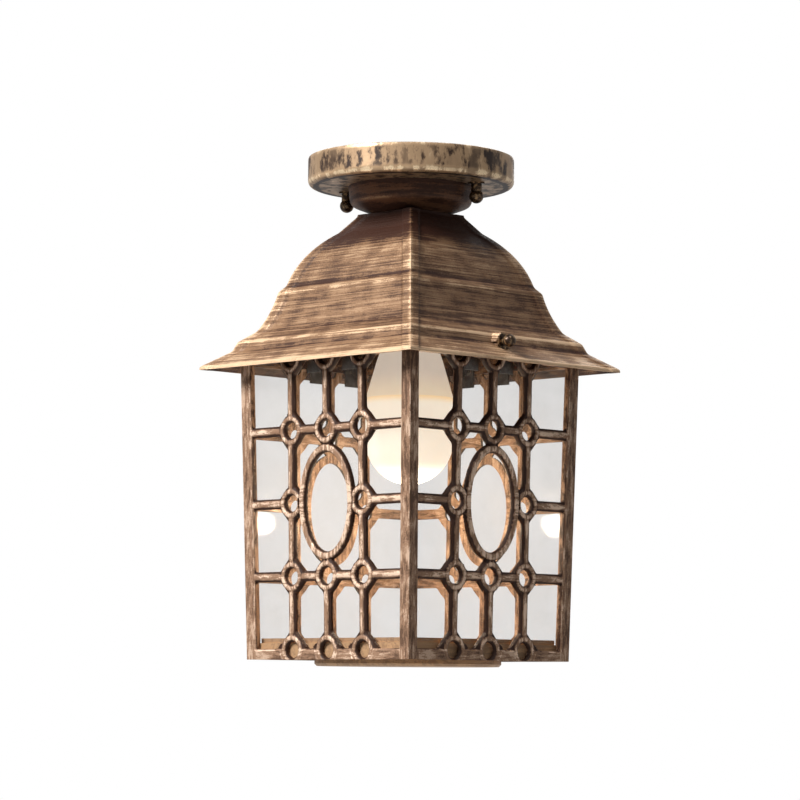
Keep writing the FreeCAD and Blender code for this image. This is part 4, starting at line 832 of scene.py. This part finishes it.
def fret_fields(x, z):
    """How far inside the metal each place is, how deep the front face is there,
    and whether it belongs to a level bar. A bar is its half width less the distance
    off its middle line; all forms are joined smoothly, and the holes come off last."""
    frame_in, depth, level = frame_fields(x, z)
    metal = frame_in
    for place in BAR_PLACES:
        off = np.abs(x - place)
        metal = smooth_max(metal, BAR - off, FILLET)
        depth = -smooth_max(-depth, -crown(off, BAR), CROWN_FILLET)
    for place in ROW_PLACES[1:4]:
        off = np.abs(z - place)
        metal = smooth_max(metal, BAR - off, FILLET)
        bar_depth = crown(off, BAR)
        level = level | (bar_depth < depth - 0.1)
        depth = -smooth_max(-depth, -bar_depth, CROWN_FILLET)
    out_x, out_z = OVAL_OUT
    oval_z = z - ROW_PLACES[OVAL_ROW]
    outside_oval = oval_distance(x, oval_z, out_x, out_z)
    holes = oval_distance(x, oval_z, out_x - OVAL_RIM, out_z - OVAL_RIM)
    for row, row_place in enumerate(ROW_PLACES):
        for bar_place in BAR_PLACES:
            if row == OVAL_ROW and bar_place == 0:
                continue
            dx, dz = np.abs(x - bar_place), np.abs(z - row_place)
            metal, depth, hole = with_ring(metal, depth, dx, dz)
            holes = np.minimum(holes, hole)
    depth = np.where(outside_oval < 0, oval_crown(outside_oval), depth)
    metal = smooth_max(metal, -outside_oval, FILLET)
    metal = np.where(frame_in > 0, np.maximum(metal, frame_in), metal)
    metal = -smooth_max(-metal, -holes, HOLE_ROUND)
    return metal, np.clip(depth, 0, FRET_DEPTH - LEAST_METAL), level.astype(float)


print("metal at a bar's middle:", fret_fields(np.zeros(1), np.full(1, -20.0))[0].round(2), "mm")

# %% [markdown]
# The grid follows the taper, so its outer columns lie on the posts' edges. Cells
# whose middle is in the open are left out, which leaves jagged edges. Each point
# on such an edge then slides along the slope of the field until it lies on the
# metal's true edge, in a few of Newton's steps.

# %% Fret grid
GRID_ACROSS, GRID_DOWN = 240, 304
MITRE_GAP, POST_EDGE = 0.04, 0.25


def slide_to_edge(x, z, moving):
    """Newton steps along the slope of the metal field, until it is nought."""
    reach = 0.05
    for _ in range(4):
        here = fret_fields(x, z)[0]
        by_x = (fret_fields(x + reach, z)[0] - fret_fields(x - reach, z)[0]) / (2 * reach)
        by_z = (fret_fields(x, z + reach)[0] - fret_fields(x, z - reach)[0]) / (2 * reach)
        push = np.clip(here / (by_x**2 + by_z**2 + 1e-3), -0.3, 0.3)
        x = np.where(moving, x - push * by_x, x)
        z = np.where(moving, z - push * by_z, z)
    return x, z


def fret_grid():
    """A flat fret's points, x across and z down from its top edge, with their
    depth and level marks, and which cells between them hold metal."""
    share, down = np.linspace(-1, 1, GRID_ACROSS + 1), np.linspace(0, 1, GRID_DOWN + 1)
    z = np.repeat(-FRET_HEIGHT * down[:, None], GRID_ACROSS + 1, 1)
    x = share[None, :] * (CAGE_TOP + z * TAPER - MITRE_GAP)
    middle = [(a[1:, 1:] + a[1:, :-1] + a[:-1, 1:] + a[:-1, :-1]) / 4 for a in (x, z)]
    kept = fret_fields(*middle)[0] > 0
    count = np.zeros(x.shape, int)
    for rows in (slice(0, -1), slice(1, None)):
        for columns in (slice(0, -1), slice(1, None)):
            count[rows, columns] += kept
    border = np.zeros(x.shape, bool)
    border[1:-1, 1:-1] = True
    x, z = slide_to_edge(x, z, border & (count > 0) & (count < 4))
    _, depth, level = fret_fields(x, z)
    depth[:, (0, -1)] = POST_EDGE
    return x, z, depth, level, kept


FRET_GRID = fret_grid()
print("fret grid:", FRET_GRID[-1].sum(), "of", FRET_GRID[-1].size, "cells hold metal")

# %% [markdown]
# The grid is used twice: as the front face, at the depth that the field gives,
# and as the flat back, drawn in at both ends because the posts are mitred. Walls
# join the two wherever a cell has no neighbour. All four frets share one mesh
# plan, and each is then leaned by the taper and turned to its side.

# %% Fret skins
CREST_DEPTH, CREST_FALL = 0.45, 0.55
# the second number is painted light: bronze on the back faces, as if the bulb lit them
FLAT_SHARE, BACK_BULB_LIGHT = 0.55, 0.5


def fret_quads(kept):
    """Front and back faces of the kept cells, and a wall at each open side. Points
    of the back are numbered on from the last one of the front."""
    rows, columns = kept.shape[0] + 1, kept.shape[1] + 1
    number = np.arange(rows * columns).reshape(rows, columns)
    cell = np.stack([number[:-1, :-1], number[1:, :-1], number[1:, 1:], number[:-1, 1:]], 2)
    face = cell[kept]
    quads = [face, face[:, ::-1] + number.size]
    spaced = np.pad(kept, 1)
    left, right = (slice(1, -1), slice(0, -2)), (slice(1, -1), slice(2, None))
    above, under = (slice(0, -2), slice(1, -1)), (slice(2, None), slice(1, -1))
    for side, first, second in ((left, 1, 0), (under, 2, 1), (right, 3, 2), (above, 0, 3)):
        edge = kept & ~spaced[side]
        a, b = cell[edge][:, first], cell[edge][:, second]
        quads.append(np.stack([a, b, b + number.size, a + number.size], 1))
    return np.concatenate(quads)


def fret_marks(depth, level):
    """More bronze the nearer the front a point lies, less the deeper it lies. The
    posts' flat faces are rubbed less than the crowns of the bars. The back faces,
    turned to the bulb, take bronze as painted light from it."""
    raised_and_painted_light = np.clip(1.0 - (depth - CREST_DEPTH) / CREST_FALL, 0, 1)
    raised_and_painted_light = raised_and_painted_light * np.where(depth < 0.05, FLAT_SHARE, 1.0)
    hollow = 0.8 * np.clip((depth - 0.8) / 0.5, 0, 1)
    return {
        "raised_and_painted_light": np.concatenate([raised_and_painted_light.ravel(), np.full(raised_and_painted_light.size, BACK_BULB_LIGHT)]),
        "hollow": np.concatenate([hollow.ravel(), np.zeros(hollow.size)]),
        "level": np.concatenate([level.ravel(), level.ravel()]),
    }


def fret_mesh_parts():
    """The flat fret's points, faces and marks, without the points left in the open."""
    x, z, depth, level, kept = FRET_GRID
    window = CAGE_TOP + z * TAPER - POST
    beyond = np.maximum(np.abs(x) - window, 0)
    x_back = np.sign(x) * (np.abs(x) - beyond * FRET_DEPTH / POST)
    front = np.stack([x, depth, z], 2).reshape(-1, 3)
    back = np.stack([x_back, np.full(x.shape, FRET_DEPTH), z], 2).reshape(-1, 3)
    points = np.concatenate([front, back])
    quads = fret_quads(kept)
    marks = fret_marks(depth, level)
    used = np.unique(quads)
    place = np.zeros(len(points), int)
    place[used] = np.arange(len(used))
    return points[used], place[quads], {key: given[used] for key, given in marks.items()}


FLAT_POINTS, FRET_QUADS, FRET_MARKS = fret_mesh_parts()
SIDES = {"front": 0, "right": 90, "back": 180, "left": 270}


def fret_on_side(side):
    """The flat fret leaned by its taper and turned to its side of the cage."""
    x, y, z = FLAT_POINTS.T
    lean_y = y * math.cos(LEAN) - z * math.sin(LEAN) - CAGE_TOP
    lean_z = y * math.sin(LEAN) + z * math.cos(LEAN) + FRET_TOP
    turn = math.radians(SIDES[side])
    turned_x = x * math.cos(turn) - lean_y * math.sin(turn)
    turned_y = x * math.sin(turn) + lean_y * math.cos(turn)
    points = np.stack([turned_x, turned_y, lean_z], 1)
    return mesh_from(f"fret_casting_{side}", points, FRET_QUADS, FRET_MARKS, 40)


for side in SIDES:
    dress(fret_on_side(side), "cage", fret_finish, f"fret_{side}")

# %% [markdown]
# ## The canopy and the bowl
# Both are round, so each is one outline carried round the axis. The canopy is
# spun from sheet, with a rounded corner and rim, and the bowl is cast. Their
# outlines are closed loops, outside and inside, and the columns close as well.

# %% Canopy
CANOPY_OUTSIDE = [
    ((5.4, -15.4), (51.2, -15.4)),
    ((51.2, -15.4), (54.2, -12.4), 3.0, 1, 9),
    ((54.2, -12.4), (54.2, -1.2)),
    ((54.2, -1.2), (53.0, 0.0), 1.2, 1, 5),
]
CANOPY_INSIDE = [
    ((52.9, -0.2), (52.8, -12.4)),
    ((52.8, -12.4), (51.2, -14.0), 1.6, -1, 5),
    ((51.2, -14.0), (5.4, -14.0)),
]
# the second number is the radius of the painted shadow line under the rim
CORNER_LEVEL, RIM_SHADOW_RADIUS = -13.6, 50.0


def turned_skin(name, loop, columns, marks):
    """Carries a closed loop of (radius, height) points round the axis: x and y are
    the radius times the cosine and the sine of the angle."""
    angle = np.linspace(0, 2 * math.pi, columns, endpoint=False)
    radius, height = loop[:, :1], loop[:, 1:]
    x, y = radius * np.cos(angle), radius * np.sin(angle)
    points = np.stack([x, y, np.repeat(height, columns, 1)], 2).reshape(-1, 3)
    wide = {key: np.repeat(given[:, None], columns, 1) for key, given in marks.items()}
    quads = closed_quads(len(loop), columns)
    return mesh_from(name, points, quads, wide)


def canopy_skin():
    """Under face, corner, band and rim outside; the sheet's inside on the way back.
    The rim is rubbed bright and the corner carries a painted highlight; a dark
    line round the under face, just inside the corner, is painted shadow."""
    outside = even_steps(outline(CANOPY_OUTSIDE), 1.0)
    inside = even_steps(outline(CANOPY_INSIDE), 3.0)
    loop = np.concatenate([outside, inside])
    radius, height = loop.T
    # painted highlight: the rounded lower corner takes extra bronze, as a bright line
    corner = bell(height, CORNER_LEVEL, 1.3) * (radius > 52)
    rim = 0.5 * bell(height, -0.6, 0.8) * (radius > 53)
    # painted shadow: a dark line on the flat under face, just inside the rounded corner
    painted_rim_shadow = 0.9 * bell(radius, RIM_SHADOW_RADIUS, 1.1) * (height < -15)
    far_in = np.arange(len(loop)) >= len(outside)
    marks = {"raised_and_painted_light": np.maximum(corner, rim) * ~far_in, "hollow": np.where(far_in, 0.5, painted_rim_shadow)}
    return turned_skin("canopy_shell", loop, 160, marks)


dress(canopy_skin(), "fixture", spun_finish, "canopy")

# %% Bowl
BOWL_OUTSIDE = [
    (33.0, -15.4), (32.25, -22.0), (32.0, -23.4), (31.6, -24.6), (30.5, -25.5),
    (19.4, -29.8), (19.0, -30.0), (TUBE_HOLE, -30.0),
]
BOWL_INSIDE = [(TUBE_HOLE, -28.0), (19.0, -28.0), (30.0, -24.4), (31.0, -15.4)]


def bowl_skin():
    """The bowl's outside, eased, and its inside on the way back. Its shoulder is
    rubbed, and the brush missed the band where it meets the canopy."""
    outside = eased(even_steps(BOWL_OUTSIDE, 0.8))
    loop = np.concatenate([outside, even_steps(BOWL_INSIDE, 3.0)])[::-1]
    height = loop[:, 1]
    marks = {"raised_and_painted_light": 0.4 * bell(height, -24.5, 1.0), "hollow": 0.5 * bell(height, -15.8, 1.2)}
    return turned_skin("bowl_casting", loop, 120, marks)


dress(bowl_skin(), "fixture", bowl_finish, "neck_bowl")

# %% [markdown]
# ## Metal, plastic and glaze for the small pieces
# The rest of the lantern keeps its solids as they are and only needs finishes.
# Plated and bare metals are two tones of one colour in a cloudy bloom, with fine
# scratches. Plastic, porcelain and insulation are two near tones that drift into
# each other. Two functions make them all, from one line of a table each. Only
# the balls of the screws and nuts are dark, with the brass worn bright.

# %% Metals and mouldings


def cloudy_metal(name, light, dark, roughness):
    """Plated or bare metal with a cloudy bloom and fine scratches."""
    made, tree, out, where = start_finish(name)
    bloom = noise(tree, where, 260.0, 5.0, 0.6)
    fine = noise(tree, stretched(tree, where, (900, 900, 5200)), 1.0, 2.0)
    colour = between(tree, spread(tree, bloom, 0.35, 0.7), rgb(*dark), rgb(*light))
    rough = sum_of(tree, "MULTIPLY_ADD", bloom, 0.25, roughness - 0.12)
    shade(tree, out, colour, rough, 1.0, fine, 0.04 * MM)
    return made


def plain_moulding(name, light, dark, roughness):
    """Moulded plastic or glaze: a faint drift of tone and a fine skin."""
    made, tree, out, where = start_finish(name)
    drift = noise(tree, where, 45.0, 3.0)
    skin = noise(tree, where, 1600.0, 2.0)
    tone = between(tree, spread(tree, drift, 0.3, 0.7), rgb(*dark), rgb(*light))
    rough = sum_of(tree, "MULTIPLY_ADD", skin, 0.12, roughness - 0.06)
    shade(tree, out, tone, rough, 0.0, skin, 0.03 * MM)
    return made


def knob_finish():
    """Dark brass balls, worn bright in broken patches."""
    made, tree, out, where = start_finish("knob_brass")
    wear = noise(tree, where, 420.0, 5.0, 0.65)
    fine = noise(tree, where, 2600.0, 2.0)
    worn = spread(tree, wear, 0.46, 0.68)
    colour = between(tree, worn, rgb(0.045, 0.026, 0.016), rgb(0.42, 0.27, 0.14))
    rough = sum_of(tree, "MULTIPLY_ADD", wear, 0.3, 0.18)
    shade(tree, out, colour, rough, 0.7, fine, 0.04 * MM)
    return made


METALS = {
    "zinc": ("zinc_plate", (0.66, 0.67, 0.68), (0.48, 0.49, 0.50), 0.34),
    "brass_contact": ("brass", (0.82, 0.64, 0.32), (0.62, 0.45, 0.2), 0.3),
    "cap_aluminium": ("cap_aluminium", (0.80, 0.80, 0.79), (0.66, 0.66, 0.65), 0.3),
}
MOULDINGS = {
    "porcelain": ("porcelain_glaze", (0.90, 0.89, 0.86), (0.82, 0.80, 0.76), 0.16),
    "black_insulator": ("black_glass", (0.03, 0.03, 0.03), (0.02, 0.02, 0.02), 0.15),
    "bulb_board": ("light_board", (0.93, 0.93, 0.90), (0.86, 0.86, 0.82), 0.45),
    "block_plastic": ("block_polyamide", (0.86, 0.84, 0.78), (0.78, 0.76, 0.69), 0.5),
    "wire_brown": ("wire_brown", (0.28, 0.13, 0.06), (0.2, 0.09, 0.04), 0.42),
    "wire_blue": ("wire_blue", (0.07, 0.2, 0.52), (0.05, 0.15, 0.42), 0.42),
    "wire_green": ("wire_green", (0.3, 0.55, 0.1), (0.24, 0.46, 0.08), 0.42),
}
FINISHES = {slot: cloudy_metal(*given) for slot, given in METALS.items()}
FINISHES.update({slot: plain_moulding(*given) for slot, given in MOULDINGS.items()})
FINISHES["antique_knob"] = knob_finish()
print("small finishes:", len(FINISHES))

# %% [markdown]
# ## Clear panes
# A pane of clear glass would be a refracting shader in a still picture, but a
# thin pane hardly bends light. Here it is a smooth coat with a low alpha, which
# dims what lies behind it a little, as a real pane does, with a trace of dust.

# %% Pane finish


def pane_finish():
    """A clear pane: a smooth coat, a low alpha and a trace of dust."""
    made, tree, out, where = start_finish("pane_glass")
    dust = noise(tree, where, 38.0, 5.0, 0.65)
    clean, dusty = rgb(0.20, 0.165, 0.13), rgb(0.30, 0.25, 0.20)
    colour = between(tree, spread(tree, dust, 0.3, 0.75), clean, dusty)
    alpha = spread(tree, dust, 0.2, 0.85, 0.08, 0.13)
    shade(tree, out, colour, 0.06, Alpha=alpha)
    return made


FINISHES["clear_glass"] = pane_finish()
print("pane finish ready")

# %% [markdown]
# ## The lit bulb
# The opal diffuser glows by itself, because a surface that gives light looks the
# same from every side. Its white turns amber in a narrow band at the seam, where
# the plastic is thick, and the white housing above it glows less, and warmer
# towards the seam. Both read their height from the object's own coordinates.

# %% Bulb finishes
AMBER_BAND = (-0.131, -0.1265)
HOUSING_GLOW = (-0.112, -0.127)


def glowing_finish():
    """Opal plastic lit from inside, amber at the seam under its housing."""
    made, tree, out, where = start_finish("bulb_opal")
    height = put(tree, "SeparateXYZ", {0: where}).outputs["Z"]
    drift = noise(tree, where, 60.0, 2.0)
    skin = noise(tree, where, 1500.0, 2.0)
    seam = spread(tree, height, *AMBER_BAND)
    warm = between(tree, seam, rgb(1.0, 0.90, 0.74), rgb(1.0, 0.66, 0.30))
    warm = between(tree, sum_of(tree, "MULTIPLY", drift, 0.12), warm, rgb(1.0, 0.84, 0.6))
    tone = between(tree, drift, rgb(0.66, 0.62, 0.55), rgb(0.74, 0.70, 0.64))
    shade(tree, out, tone, 0.4, 0.0, skin, 0.02 * MM, Emission_Color=warm, Emission_Strength=0.9)
    return made


def housing_finish():
    """White plastic that carries a little warm light at its lower rim."""
    made, tree, out, where = start_finish("bulb_plastic")
    height = put(tree, "SeparateXYZ", {0: where}).outputs["Z"]
    drift = noise(tree, where, 50.0, 3.0)
    skin = noise(tree, where, 1400.0, 2.0)
    low = spread(tree, height, *HOUSING_GLOW)
    tone = between(tree, drift, rgb(0.80, 0.76, 0.70), rgb(0.90, 0.87, 0.82))
    glow = between(tree, low, rgb(0.80, 0.68, 0.56), rgb(1.0, 0.80, 0.56))
    shade(tree, out, tone, 0.38, 0.0, skin, 0.02 * MM, Emission_Color=glow, Emission_Strength=0.72)
    return made


FINISHES["bulb_glow"] = glowing_finish()
FINISHES["bulb_housing"] = housing_finish()
print("bulb finishes ready")

# %% [markdown]
# ## A finish for every node
# The record names a material slot for each node, and each slot has its finish.
# Castings that no skin covers show little, so they take the plain brown one.
# Three nodes look different from the rest of their slot: the floor's dish is
# brushed in lines, and the clips and the collar's screws are dark.

# %% Dress the nodes
for slot in ("antique_roof", "antique_fret", "antique_canopy"):
    FINISHES[slot] = inner_finish
dark_zinc = cloudy_metal("dark_zinc", (0.20, 0.19, 0.18), (0.12, 0.11, 0.10), 0.4)
OWN_FINISHES = {"floor_plate": dish_finish, "glass_clips": dark_zinc, "collar_screws": dark_zinc}
for part in frame["record"]["subparts"]:
    node = frame["nodes"][part["node"]]
    node.data.materials.clear()
    node.data.materials.append(OWN_FINISHES.get(part["node"], FINISHES[part["material_slot"]]))
